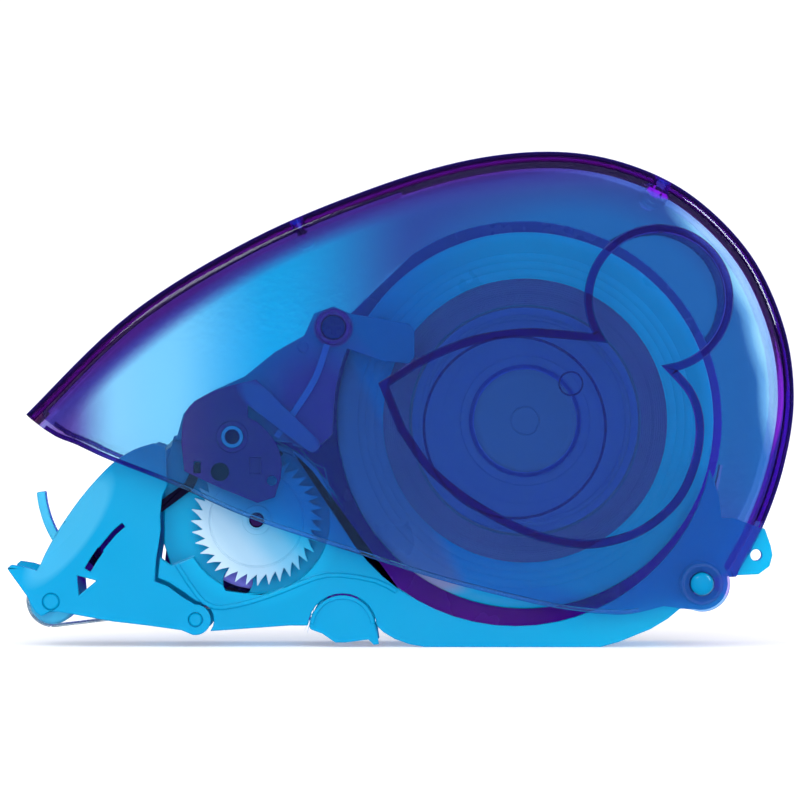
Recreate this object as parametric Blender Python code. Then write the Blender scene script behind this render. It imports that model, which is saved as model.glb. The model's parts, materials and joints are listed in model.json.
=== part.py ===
"""Hand-held tape roller with a hinged grip cover, a nose roller and a saw-toothed index wheel.

Frame: metres, +Z up, +X to the rear, the roller nose at -X, the open (near) side at -Y.
The origin is on the ground plane under the middle of the bounding box.
Profiles are written as (x, z) pairs in millimetres and extruded along Y.
"""
import math

import bmesh
import bpy
from mathutils import Matrix, Vector

MM = 0.001

# ---- joint axes, (x, z) in millimetres ----
COVER_HINGE = (51.6, 11.0)
HEAD_HINGE = (-35.1, 4.7)
ROLLER = (-59.9, 7.8)
WHEEL = (-24.6, 21.8)
SPOOL = (21.5, 38.8)
LEVER_PIVOT = (-28.7, 36.1)
PAWL_PIVOT = (-30.8, 30.1)
LATCH = (-9.9, 3.3)
SCREW = (-11.4, 54.8)
GUIDE_POST, NOSE_POST = (-37.6, 34.4), (-54.2, 19.6)
GUIDE_BAR = ((-29.4, 9.6), (-26.0, 8.4), 0.65)

# ---- layers across the width, |y| in millimetres ----
COVER_OUT, COVER_IN = 14.2, 12.8
SIDE_OUT, SIDE_IN = 10.6, 9.2
FLANGE_OUT, FLANGE_IN = 6.1, 5.3
TAPE_HALF = 4.9
FLOOR_OUT, FLOOR_IN = 7.7, 6.7
WHEEL_OUT, WHEEL_IN = 9.9, 8.9
LEVER_OUT, LEVER_IN = 12.5, 11.6
PAWL_OUT, PAWL_IN = 11.4, 10.8
ARM_OUT, ARM_IN = 8.7, 7.9
GAP = 0.3

# ---- radii in millimetres ----
COVER_FILLET, COVER_RIM = 3.0, 2.0
EAR_R, SPACER_R, HINGE_PIN_R, HINGE_BORE_R = 4.75, 3.7, 2.0, 2.07
HEAD_EAR_R, HEAD_PIN_R, HEAD_BORE_R = 2.65, 1.2, 1.26
ROLLER_R, ROLLER_BORE_R, ROLLER_AXLE_R = 4.1, 1.55, 1.47
SPOOL_R, TAPE_OUT_R, TAPE_IN_R, CORE_OUT_R, CORE_IN_R = 32.4, 24.4, 19.85, 19.55, 18.2
REFILL_CUT = ((19.8, 37.6), 34.0)
SAW_TIP_R, SAW_ROOT_R, SAW_TEETH = 11.3, 9.4, 36
POCKET_R, POCKET_WALL = 12.6, 0.8
TAKE_UP_R, LINER_OUT_R, LINER_IN_R, TAKE_UP_CORE_R = 12.0, 7.8, 4.7, 4.4
LATCH_R, LATCH_CUT_R = 5.6, 5.9
BOSS_R, SCREW_HEAD_R, SCREW_SHANK_R = 2.9, 2.0, 0.8
RELIEF_WIDTH, RELIEF_HEIGHT = 1.3, 0.4
POST_R, STRIP = 1.3, 0.25

FRAME_BLUE = (0.0, 0.42, 0.84)
DEEP_BLUE = (0.05, 0.02, 0.32)
COVER_BLUE = (0.01, 0.10, 0.62)
PALE_BLUE = (0.42, 0.70, 0.90)
BLACK = (0.01, 0.01, 0.012)
STEEL = (0.55, 0.56, 0.58)
TAPE_VIOLET = (0.05, 0.03, 0.25)
LINER_BLUE = (0.20, 0.32, 0.70)


def clear_scene():
    for obj in list(bpy.data.objects):
        bpy.data.objects.remove(obj, do_unlink=True)


def material(name, colour, roughness=0.25, metallic=0.0, alpha=1.0):
    mat = bpy.data.materials.new(name)
    mat.use_nodes = True
    shader = mat.node_tree.nodes["Principled BSDF"]
    shader.inputs["Base Color"].default_value = (*colour, 1.0)
    shader.inputs["Roughness"].default_value = roughness
    shader.inputs["Metallic"].default_value = metallic
    shader.inputs["Alpha"].default_value = alpha
    mat.diffuse_color = (*colour, alpha)
    return mat


# ---------------------------------------------------------------- profile geometry

def arc(centre, radius, start, end, steps):
    """Points on a circle from one angle to another, in degrees, both ends included."""
    angles = [math.radians(start + (end - start) * i / steps) for i in range(steps + 1)]
    return [(centre[0] + radius * math.cos(a), centre[1] + radius * math.sin(a)) for a in angles]


def spline(points, steps):
    """A smooth open curve through the points (Catmull-Rom)."""
    first = tuple(2 * a - b for a, b in zip(points[0], points[1]))
    last = tuple(2 * a - b for a, b in zip(points[-1], points[-2]))
    ring = [first, *points, last]
    curve = []
    for i in range(1, len(ring) - 2):
        for k in range(steps):
            t = k / steps
            curve.append(tuple(
                0.5 * (2 * b + (c - a) * t + (2 * a - 5 * b + 4 * c - d) * t * t
                       + (3 * b - a - 3 * c + d) * t ** 3)
                for a, b, c, d in zip(*ring[i - 1:i + 3])))
    curve.append(points[-1])
    return curve


def offset(points, distance, closed=False):
    """Each point moved to the left of the direction of travel, with mitred corners."""
    count = len(points)
    moved = []
    for i, point in enumerate(points):
        before = points[(i - 1) % count] if closed or i > 0 else None
        after = points[(i + 1) % count] if closed or i < count - 1 else None
        normals = []
        for start, end in ((before, point), (point, after)):
            if start is not None and end is not None:
                step = Vector((end[0] - start[0], end[1] - start[1])).normalized()
                normals.append(Vector((-step.y, step.x)))
        normal = sum(normals, Vector((0.0, 0.0))).normalized()
        stretch = min(1.0 / max(normal.dot(normals[0]), 0.3), 2.2)
        moved.append((point[0] + normal.x * distance * stretch,
                      point[1] + normal.y * distance * stretch))
    return moved


def stroke(points, width):
    """The outline of a line of the given width drawn along an open path."""
    return offset(points, width / 2) + offset(points, -width / 2)[::-1]


def capsule(start, end, radius, steps=8):
    """A straight bar with round ends."""
    angle = math.degrees(math.atan2(end[1] - start[1], end[0] - start[0]))
    return (arc(end, radius, angle - 90, angle + 90, steps)
            + arc(start, radius, angle + 90, angle + 270, steps))


# ---------------------------------------------------------------- solids

def mesh_object(name, verts, faces, mat=None):
    mesh = bpy.data.meshes.new(name)
    mesh.from_pydata([tuple(c * MM for c in v) for v in verts], [], faces)
    bm = bmesh.new()
    bm.from_mesh(mesh)
    bmesh.ops.recalc_face_normals(bm, faces=bm.faces)
    if bm.calc_volume(signed=True) < 0:
        bmesh.ops.reverse_faces(bm, faces=bm.faces)
    bm.to_mesh(mesh)
    bm.free()
    mesh.shade_smooth()
    mesh.set_sharp_from_angle(angle=math.radians(30))
    obj = bpy.data.objects.new(name, mesh)
    bpy.context.collection.objects.link(obj)
    if mat is not None:
        mesh.materials.append(mat)
    return obj


def loft(name, levels, mat=None):
    """A solid through matching outlines: levels is a list of (y, [(x, z), ...])."""
    count = len(levels[0][1])
    verts = [(x, y, z) for y, outline in levels for x, z in outline]
    faces = [tuple(range(count)), tuple(range(len(verts) - count, len(verts)))[::-1]]
    for k in range(len(levels) - 1):
        for i in range(count):
            j = (i + 1) % count
            faces.append((k * count + i, (k + 1) * count + i, (k + 1) * count + j, k * count + j))
    return mesh_object(name, verts, faces, mat)


def plate(name, outline, y0, y1, mat=None):
    return loft(name, [(y0, outline), (y1, outline)], mat)


def turned(name, centre, profile, mat=None, segments=48):
    """A solid of revolution about a Y axis. profile is a list of (radius, y)."""
    verts, rings = [], []
    for radius, y in profile:
        if radius == 0:
            rings.append([len(verts)] * segments)
            verts.append((centre[0], y, centre[1]))
        else:
            rings.append(list(range(len(verts), len(verts) + segments)))
            verts += [(x, y, z) for x, z in arc(centre, radius, 0, 360, segments)[:-1]]
    closed = profile[0][0] != 0
    faces = []
    for k in range(len(rings) if closed else len(rings) - 1):
        near, far = rings[k], rings[(k + 1) % len(rings)]
        for i in range(segments):
            j = (i + 1) % segments
            corners = dict.fromkeys((near[i], far[i], far[j], near[j]))
            if len(corners) > 2:
                faces.append(tuple(corners))
    return mesh_object(name, verts, faces, mat)


def cylinder(name, centre, radius, y0, y1, mat=None, segments=32):
    return turned(name, centre, [(0, y0), (radius, y0), (radius, y1), (0, y1)], mat, segments)


def ring(name, centre, inner, outer, y0, y1, mat=None, segments=48):
    profile = [(inner, y0), (outer, y0), (outer, y1), (inner, y1)]
    return turned(name, centre, profile, mat, segments)


def pin_profile(radius, half, chamfer=0.3):
    """A plain pin, symmetric about y = 0, with small end chamfers."""
    return [(0, -half), (radius - chamfer, -half), (radius, -half + chamfer),
            (radius, half - chamfer), (radius - chamfer, half), (0, half)]


def tube(name, path, radius, sides, mat):
    """A round wire along a 3-D path, with flat ends."""
    points = [Vector(p) for p in path]
    tangents = [(points[min(i + 1, len(points) - 1)] - points[max(i - 1, 0)]).normalized()
                for i in range(len(points))]
    side = tangents[0].orthogonal().normalized()
    verts = []
    for point, tangent in zip(points, tangents):
        side = (side - tangent * side.dot(tangent)).normalized()
        up = tangent.cross(side)
        for k in range(sides):
            a = 2 * math.pi * k / sides
            verts.append(tuple(point + (side * math.cos(a) + up * math.sin(a)) * radius))
    faces = [tuple(range(sides)), tuple(range(len(verts) - sides, len(verts)))[::-1]]
    for i in range(len(points) - 1):
        for k in range(sides):
            j = (k + 1) % sides
            faces.append((i * sides + k, (i + 1) * sides + k, (i + 1) * sides + j, i * sides + j))
    return mesh_object(name, verts, faces, mat)


def boolean(target, tool, operation):
    modifier = target.modifiers.new(tool.name, "BOOLEAN")
    modifier.operation = operation
    modifier.solver = "EXACT"
    modifier.object = tool
    tool.hide_render = True
    tool.display_type = "WIRE"


def cut(target, *tools):
    for tool in tools:
        boolean(target, tool, "DIFFERENCE")


def fuse(target, *tools):
    for tool in tools:
        boolean(target, tool, "UNION")


def hang_on(pivot_name, pivot, objects):
    """An empty on the joint axis, with the moving pieces parented to it."""
    empty = bpy.data.objects.new(pivot_name, None)
    bpy.context.collection.objects.link(empty)
    place = Vector((pivot[0] * MM, 0.0, pivot[1] * MM))
    empty.location = place
    for obj in objects:
        obj.data.transform(Matrix.Translation(-place))
        obj.parent = empty
    return empty


# ---------------------------------------------------------------- shared outlines

def cover_crown():
    """The top and rear edge of the cover, from beyond the front tip to below the rear ear."""
    return spline([(-67.9, 35.6), (-63.4, 40.6), (-46.2, 57.2), (-25.6, 69.9), (-5.1, 78.6), (12.0, 83.6),
                   (27.0, 84.95), (39.5, 82.7), (50.5, 77.1), (60.1, 67.3), (65.8, 55.0), (67.5, 43.0),
                   (65.9, 31.5), (62.2, 20.7), (57.0, 11.0)], 3)


def cover_blob(inset):
    """The closed side outline of the cover before its lower edge is cut."""
    return offset(cover_crown(), -inset) + [(54.0 - inset, 2.0), (50.0, -8.0), (-66.0, -8.0)]


def below_cover():
    """Everything under the cover's lower edge, which ends in the round hinge ear."""
    edge = [(-72.0, 46.5), (-60.6, 37.3), (-55.1, 34.7), (-49.5, 32.1), (-38.2, 27.7), (-25.5, 22.1),
            (-8.5, 16.5), (4.0, 12.5), (13.8, 9.8), (26.3, 6.9), (34.4, 5.9), (39.5, 5.9), (45.0, 7.2)]
    ear = arc(COVER_HINGE, EAR_R, -112, 14, 10)
    return edge + ear + [(80.0, 12.2), (80.0, -20.0), (-80.0, -20.0)]


def side_bottom():
    """The lower edge of the frame's side walls, from the head hinge back to the rear ear."""
    around_head_ear = arc(HEAD_HINGE, 3.2, 88, -38, 7)
    latch_cut = arc(LATCH, LATCH_CUT_R, 176, 4, 14)
    base = [(-2.9, 2.6), (-0.9, 1.4), (1.6, 0.5), (4.4, 0.0), (34.4, 0.0), (37.6, 0.9), (43.0, 3.1),
            (46.0, 4.9), (48.0, 6.6)]
    rear_ear = arc(COVER_HINGE, 4.6, -105, 10, 10)
    return around_head_ear + [(-19.0, 3.7), (-16.2, 3.7)] + latch_cut + base + rear_ear


def side_front():
    """The front edge of the side walls, down to the head ear. It follows the head's rear edge."""
    return [(-37.1, 40.0), (-38.8, 34.0), (-39.5, 27.8), (-40.4, 25.8), (-40.7, 22.5), (-40.6, 20.1),
            (-40.9, 17.7), (-41.2, 15.3), (-41.5, 11.9), (-39.6, 11.1), (-37.0, 9.4)]


def web_top():
    """The top edge of the front web, from the screw boss to the front corner."""
    return [(-8.6, 57.2), (-11.4, 58.4), (-14.7, 57.2), (-16.4, 53.4), (-21.4, 50.6), (-26.6, 46.4),
            (-32.1, 43.9), (-35.2, 42.2)]


def pocket_extension(grow):
    """The part of the wheel pocket that runs forward to the head."""
    return [(-45.0, 18.4 - grow), (-39.2, 14.0 - grow), (-34.0, 16.0 - grow), (-29.0, 31.0),
            (-29.0, 32.4 + grow), (-33.2, 32.8 + grow), (-34.2, 35.4 + grow), (-38.8, 35.4 + grow),
            (-45.0, 30.0 + grow)]


# ---------------------------------------------------------------- cover

def relief_path():
    """A teardrop with a circle overlapping its upper right, as one closed path."""
    teardrop_top = spline([(-2.8, 45.0), (4.0, 49.2), (12.5, 52.6), (21.0, 53.9), (28.0, 53.6)], 3)
    circle = arc((44.2, 59.7), 12.0, 214, -81, 18)
    right = spline([(46.1, 47.9), (49.8, 43.4), (51.2, 38.0), (50.3, 31.4), (47.3, 25.2), (42.0, 20.6),
                    (36.4, 18.4), (30.6, 17.8), (22.4, 19.6), (12.6, 24.6), (5.2, 30.6), (0.3, 37.4)], 2)
    return teardrop_top[:-1] + circle + right[1:]


def cover_half(name, side, mat):
    """One moulded half of the cover: side -1 is the near half, +1 the far half."""
    steps = 3
    levels = [(side * GAP / 2, cover_blob(0.0)), (side * (COVER_OUT - COVER_FILLET), cover_blob(0.0))]
    for k in range(1, steps + 1):
        turn = math.radians(90 * k / steps)
        level = COVER_OUT - COVER_FILLET * (1 - math.sin(turn))
        levels.append((side * level, cover_blob(COVER_FILLET * (1 - math.cos(turn)))))
    shell = loft(name, levels, mat)
    cavity = plate(name + "_cavity", cover_blob(COVER_RIM), side * COVER_IN, -side * 2.0)
    lower = plate(name + "_lower", below_cover(), side * 20.0, -side * 5.0)
    ear = cylinder(name + "_ear", COVER_HINGE, EAR_R, side * COVER_OUT, side * COVER_IN, segments=40)
    bore = cylinder(name + "_bore", COVER_HINGE, HINGE_BORE_R, side * 16.0, side * 11.5, segments=28)
    pad = ring(name + "_pad", (19.6, 37.7), 14.6, 15.8, side * (COVER_IN + 0.2), side * 11.9, segments=40)
    around_ear = cylinder(name + "_around_ear", COVER_HINGE, EAR_R + 0.5, side * (COVER_IN - 0.1),
                          -side * 1.5)
    cut(shell, cavity, around_ear, lower)
    fuse(shell, ear, pad)
    for i, post in enumerate(((-16.5, 70.2), (43.8, 77.2))):
        fuse(shell, cylinder(f"{name}_post{i}", post, 2.0, side * (COVER_IN + 0.2), side * GAP / 2,
                             segments=20))
        if side < 0:
            cut(shell, cylinder(f"{name}_socket{i}", post, 1.1, -6.0, 1.0, segments=16))
        else:
            fuse(shell, cylinder(f"{name}_peg{i}", post, 0.8, 1.0, -4.5, segments=16))
    path = relief_path()
    outer, inner = offset(path, RELIEF_WIDTH / 2, True), offset(path, -RELIEF_WIDTH / 2, True)
    count = len(path)
    y_top, y_root = side * (COVER_OUT + RELIEF_HEIGHT), side * (COVER_OUT - 0.3)
    verts = [(x, y, z) for y in (y_top, y_root) for loop in (outer, inner) for x, z in loop]
    faces = []
    for i in range(count):
        j = (i + 1) % count
        a, b, c, d = i, count + i, 2 * count + i, 3 * count + i
        e, f, g, h = j, count + j, 2 * count + j, 3 * count + j
        faces += [(a, e, f, b), (c, d, h, g), (a, c, g, e), (b, f, h, d)]
    fuse(shell, mesh_object(name + "_relief", verts, faces))
    cut(shell, bore)
    if side < 0:
        notch = plate(name + "_notch", [(50.0, 8.0), (70.0, 8.0), (70.0, 20.95), (50.0, 23.0)], -11.3, -7.0)
        cut(shell, notch)
    return shell


# ---------------------------------------------------------------- frame

def near_side_plate(mat):
    refill, refill_r = REFILL_CUT
    web_inner = arc(SPOOL, 32.9, 176, 158, 5)
    hook = [(-3.0, 49.0), (1.6, 48.6), (2.5, 49.8), (2.5, 54.2), (1.6, 55.4), (-4.0, 56.4)]
    refill_edge = arc(refill, refill_r, -12, -156, 24)
    rim = arc(WHEEL, POCKET_R + POCKET_WALL, 12, 74, 10)
    under_web = [(-18.8, 34.6), (-16.0, 33.9), (-14.0, 34.3), (-11.5, 36.4)]
    outline = (side_front() + side_bottom() + [(55.6, 18.0), (54.6, 26.0)] + refill_edge + rim
               + under_web + web_inner + hook + web_top())
    wall = plate("near_side_plate", outline, -SIDE_OUT, -SIDE_IN, mat)
    tab = plate("lanyard_tab", [(50.0, 12.0), (57.5, 12.3), (61.5, 12.5), (63.4, 13.9), (63.9, 15.8),
                                (63.6, 17.4), (62.6, 20.3), (57.0, 22.2), (51.0, 22.0)],
                -SIDE_OUT, -SIDE_OUT + 3.0)
    dish = cylinder("dish", WHEEL, POCKET_R + POCKET_WALL, -SIDE_IN - 0.2, -FLOOR_IN, segments=44)
    dish_front = plate("dish_front", [(max(x, -40.6), z) for x, z in pocket_extension(POCKET_WALL)],
                       -FLOOR_OUT - 0.7, -FLOOR_IN)
    spacer = cylinder("ear_spacer", COVER_HINGE, SPACER_R, -LEVER_OUT - 0.1, -SIDE_IN - 0.1)
    boss = cylinder("screw_boss", SCREW, BOSS_R, -SIDE_OUT - 0.9, -SIDE_IN - 0.1, segments=28)
    dot = cylinder("web_dot", (-16.6, 51.4), 0.86, -SIDE_OUT - 0.4, -SIDE_IN - 0.1, segments=16)
    rib_path = spline([(-40.0, 17.9), (-38.2, 14.1), (-34.7, 8.9), (-32.8, 7.3), (-30.4, 6.8),
                       (-25.3, 7.9), (-19.8, 9.8), (-14.5, 11.9), (-10.5, 12.4), (-4.2, 11.4),
                       (-0.6, 9.6)], 2)
    rib = plate("land_rib", stroke(rib_path, 0.7), -SIDE_OUT - 0.3, -SIDE_OUT + 0.3)
    fuse(wall, tab, dish, dish_front, spacer, boss, dot, rib)
    pocket = cylinder("pocket", WHEEL, POCKET_R, -SIDE_OUT - 2.0, -FLOOR_OUT, segments=44)
    pocket_front = plate("pocket_front", pocket_extension(0.0), -SIDE_OUT - 2.0, -FLOOR_OUT)
    window = plate("pawl_window", [(-24.5, 31.0), (-24.5, 35.4), (-18.4, 35.0), (-18.4, 30.0)],
                   -SIDE_OUT - 1.0, -WHEEL_IN + 0.2)
    shaft_bore = cylinder("shaft_bore", WHEEL, 2.7, -12.0, -5.0, segments=28)
    seat = [(0, -13.0), (SCREW_HEAD_R + 0.2, -13.0), (SCREW_HEAD_R + 0.2, -SIDE_OUT + 0.2),
            (SCREW_SHANK_R + 0.15, -SIDE_OUT + 0.2), (SCREW_SHANK_R + 0.15, -8.0), (0, -8.0)]
    sight = arc((-27.9, 11.2), 2.55, -52, 217, 18)
    cut(wall, pocket, pocket_front, window, shaft_bore, plate("sight_hole", sight, -12.0, -5.0),
        cylinder("lanyard_hole", (61.1, 15.8), 1.0, -12.0, -6.0, segments=20),
        cylinder("pivot_seat", LEVER_PIVOT, 1.9, -12.0, -8.0, segments=24),
        turned("screw_seat", SCREW, seat, segments=20),
        cylinder("plate_hinge_bore", COVER_HINGE, HINGE_BORE_R, -14.0, -6.0, segments=28))
    return wall


def far_side_shell(mat):
    crest = arc(SPOOL, 34.6, -22, 124, 40)
    outline = side_front() + side_bottom() + crest + [(-4.5, 61.2)] + web_top()
    shell = plate("far_side_shell", outline, SIDE_IN, SIDE_OUT, mat)
    floor_front = stroke([(-31.2, 4.1), (-19.0, 4.5), (-17.4, 4.5)], 1.3)
    floor_rear = stroke([(-1.7, 3.1), (0.0, 2.1), (2.1, 1.2), (4.5, 0.8), (34.3, 0.8), (37.3, 1.6),
                         (42.6, 3.7), (45.2, 5.3)], 1.3)
    post = cylinder("screw_post", SCREW, BOSS_R, -SIDE_IN + GAP, SIDE_IN + 0.2, segments=28)
    bracket = plate("latch_bracket", [(-12.6, 11.6), (-12.6, 3.3)] + arc(LATCH, 2.7, 180, 360, 12)
                    + [(-7.2, 11.6)], -1.0, 1.0)
    bracket_root = plate("bracket_root", [(-13.6, 10.6), (-6.2, 10.6), (-6.2, 12.2), (-13.6, 12.2)],
                         -0.8, SIDE_IN + 0.2)
    fuse(shell, plate("floor_front", floor_front, -SIDE_IN + GAP, SIDE_IN + 0.2),
         plate("floor_rear", floor_rear, -SIDE_IN + GAP, SIDE_IN + 0.2), post, bracket_root, bracket,
         cylinder("far_spacer", COVER_HINGE, SPACER_R, SIDE_IN + 0.1, LEVER_OUT + 0.1),
         cylinder("hinge_tube", COVER_HINGE, 3.0, 5.2, SIDE_IN + 0.2, segments=24))
    cut(shell, cylinder("latch_bore", LATCH, 1.66, -3.0, 3.0, segments=24),
        cylinder("pilot", SCREW, SCREW_SHANK_R + 0.15, -10.0, -3.0, segments=16),
        cylinder("far_shaft_seat", WHEEL, 1.26, 8.0, 12.0, segments=20),
        cylinder("far_hub_seat", SPOOL, 7.7, 8.0, 12.0, segments=40),
        cylinder("far_hinge_bore", COVER_HINGE, HINGE_BORE_R, 2.0, 14.0, segments=28))
    return shell


def frame_screw(mat):
    profile = [(0, -SIDE_OUT - 0.7), (SCREW_HEAD_R, -SIDE_OUT - 0.4), (SCREW_HEAD_R, -SIDE_OUT + 0.1),
               (SCREW_SHANK_R, -SIDE_OUT + 0.1), (SCREW_SHANK_R, -3.8), (0, -3.4)]
    screw = turned("frame_screw", SCREW, profile, mat, 24)
    for i, (dx, dz) in enumerate(((1.25, 0.28), (0.28, 1.25))):
        x, z = SCREW
        cross = [(x - dx, z - dz), (x + dx, z - dz), (x + dx, z + dz), (x - dx, z + dz)]
        cut(screw, plate(f"screw_cross{i}", cross, -13.0, -SIDE_OUT - 0.1))
    return screw


def return_spring(mat):
    """A torsion spring round the rear hinge pin: a leg on the floor, coils, a leg to the cover's crown."""
    x, z = COVER_HINGE
    coil_r, turns, pitch, per_turn = 3.2, 4, 1.15, 10
    start, end = math.radians(196), math.radians(196 + 360 * turns + 244)
    path = [(x - 15.0, -3.4, z - 6.6), (x - 8.0, -3.4, z - 4.4)]
    count = int(per_turn * (end - start) / (2 * math.pi))
    for i in range(count + 1):
        a = start + (end - start) * i / count
        y = -3.2 + pitch * (a - start) / (2 * math.pi)
        path.append((x + coil_r * math.cos(a), y, z + coil_r * math.sin(a)))
    last = path[-1]
    path += [(last[0] + 1.0, last[1] + 0.3, last[2] + 6.0), (last[0] + 3.4, last[1] + 0.4, last[2] + 17.0)]
    return tube("return_spring", path, 0.35, 5, mat)


def lever_spring(mat):
    """A moulded leaf that runs from the screw boss to the lever's finger."""
    path = spline([(-12.5, 51.9), (-14.5, 46.1), (-18.2, 40.2), (-21.2, 36.0)], 3)
    return plate("lever_spring", stroke(path, 1.1), -11.3, -10.95, mat)


def frame_parts(light, deep, dark, steel, pale):
    near_side_plate(light)
    far_side_shell(deep)
    frame_screw(deep)
    dome = [(0, -15.1), (1.2, -14.95), (1.9, -14.55), (HINGE_PIN_R, -14.1), (HINGE_PIN_R, 14.1),
            (1.9, 14.55), (1.2, 14.95), (0, 15.1)]
    turned("rear_hinge_pin", COVER_HINGE, dome, pale, 32)
    turned("head_hinge_pin", HEAD_HINGE, pin_profile(HEAD_PIN_R, SIDE_OUT), light, 28)
    turned("wheel_axle", WHEEL, [(0, -9.6), (1.05, -9.6), (1.2, -9.4), (1.2, SIDE_OUT), (0, SIDE_OUT)],
           deep, 24)
    pivot = [(1.3, -LEVER_OUT - 0.1), (1.85, -LEVER_OUT - 0.1), (1.85, -8.6), (1.3, -8.6)]
    turned("lever_pivot_pin", LEVER_PIVOT, pivot, deep, 28)
    hub = [(6.0, -6.3), (7.5, -6.3), (7.5, SIDE_OUT), (4.0, SIDE_OUT), (4.0, SIDE_IN), (6.0, SIDE_IN)]
    turned("spool_hub", SPOOL, hub, deep, 28)
    cap = [(0, -7.4), (8.6, -7.4), (8.9, -7.1), (8.9, -6.6), (5.6, -6.6), (5.6, -3.0), (4.8, -3.0),
           (4.8, -6.4), (0, -6.4)]
    turned("spool_hub_cap", SPOOL, cap, deep, 24)
    washer = [(7.9, 8.5), (13.0, 6.7), (13.0, 7.1), (7.9, 8.9)]
    turned("spool_drag_washer", SPOOL, washer, steel, 28)
    turned("tape_guide_post", GUIDE_POST, [(0, -6.3), (POST_R, -6.0), (POST_R, SIDE_IN - GAP),
                                          (0, SIDE_IN - GAP)], deep, 20)
    plate("liner_guide_bar", capsule(*GUIDE_BAR, 6), -FLOOR_IN + GAP, SIDE_IN - GAP, dark)
    return_spring(steel)
    lever_spring(light)


# ---------------------------------------------------------------- tape

def belt(stops, start, end):
    """The path of a strip that passes each (centre, radius) in turn on the right-hand side.

    start and end are the angles on the first and last circle where the path begins and ends.
    """
    turns = [math.radians(start)]
    for (here, r_here), (there, r_there) in zip(stops, stops[1:]):
        run = Vector(there) - Vector(here)
        turns.append(math.atan2(run.y, run.x) - math.acos((r_here - r_there) / run.length))
    turns.append(math.radians(end))
    path = []
    for (centre, radius), a, b in zip(stops, turns, turns[1:]):
        sweep = (b - a) % (2 * math.pi)
        steps = max(1, round(math.degrees(sweep) * (0.1 if radius < 10 else 0.4)))
        path += arc(centre, radius, math.degrees(a), math.degrees(a + sweep), steps)
    return path


def tape_run(mat):
    """The coated tape from the supply roll over the guide posts and round the nose roller."""
    clear = STRIP / 2 + GAP
    stops = [(SPOOL, TAPE_OUT_R + clear), (GUIDE_POST, POST_R + clear), (NOSE_POST, POST_R + clear),
             (ROLLER, ROLLER_R + clear)]
    return plate("tape_run", stroke(belt(stops, 110, 262), STRIP), -TAPE_HALF, TAPE_HALF, mat)


def liner_run(mat):
    """The empty liner from the nose roller under the guide bar to the take-up reel."""
    clear = STRIP / 2 + GAP
    _, bar_end, bar_r = GUIDE_BAR
    stops = [(ROLLER, ROLLER_R + clear), (bar_end, bar_r + clear), (WHEEL, LINER_OUT_R + clear)]
    return plate("liner_run", stroke(belt(stops, 266, 330), STRIP), -TAPE_HALF, TAPE_HALF, mat)


def supply_spool(pale, deep, tape):
    core = [(CORE_IN_R, -FLANGE_IN + GAP), (CORE_OUT_R, -FLANGE_IN + GAP), (CORE_OUT_R, FLANGE_IN - GAP),
            (CORE_IN_R, FLANGE_IN - GAP), (CORE_IN_R, 0.7), (9.2, 0.7), (9.2, 5.0), (7.8, 5.0),
            (7.8, -5.0), (9.2, -5.0), (9.2, -0.7), (CORE_IN_R, -0.7)]
    parts = [turned("spool_core", SPOOL, core, deep, 36)]
    for name, side in (("near", -1), ("far", 1)):
        profile = [(9.6, side * FLANGE_OUT), (SPOOL_R - 0.4, side * FLANGE_OUT),
                   (SPOOL_R, side * (FLANGE_OUT - 0.3)), (SPOOL_R, side * FLANGE_IN), (9.6, side * FLANGE_IN)]
        parts.append(turned(f"spool_{name}_flange", SPOOL, profile, pale, 64))
    parts.append(ring("tape_roll", SPOOL, TAPE_IN_R, TAPE_OUT_R, -TAPE_HALF, TAPE_HALF, tape, 48))
    return parts


def index_wheel(mat):
    """A saw-toothed wheel whose steep faces all point clockwise as seen from the near side."""
    pitch = 360 / SAW_TEETH
    outline = []
    for i in range(SAW_TEETH):
        a = math.radians(i * pitch)
        for radius, turn in ((SAW_ROOT_R, a), (SAW_TIP_R, a + math.radians(0.6))):
            outline.append((WHEEL[0] + radius * math.cos(turn), WHEEL[1] + radius * math.sin(turn)))
    wheel = plate("index_wheel", outline, -WHEEL_OUT, -WHEEL_IN, mat)
    cut(wheel, cylinder("index_bore", WHEEL, 1.32, -12.0, -8.0, segments=24))
    return wheel


def take_up(pale, deep, liner):
    core = [(1.32, -WHEEL_IN + GAP), (2.4, -WHEEL_IN + GAP), (2.4, -5.0), (TAKE_UP_CORE_R, -5.0),
            (TAKE_UP_CORE_R, 5.0), (1.32, 5.0)]
    parts = [turned("take_up_core", WHEEL, core, deep, 28)]
    for name, side, inner in (("near", -1, 2.7), ("far", 1, 1.5)):
        parts.append(ring(f"take_up_{name}_flange", WHEEL, inner, TAKE_UP_R, side * FLANGE_OUT,
                          side * FLANGE_IN, pale, 40))
    parts.append(ring("wound_liner", WHEEL, LINER_IN_R, LINER_OUT_R, -TAPE_HALF, TAPE_HALF, liner, 32))
    return parts


# ---------------------------------------------------------------- lever and pawl

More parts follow.
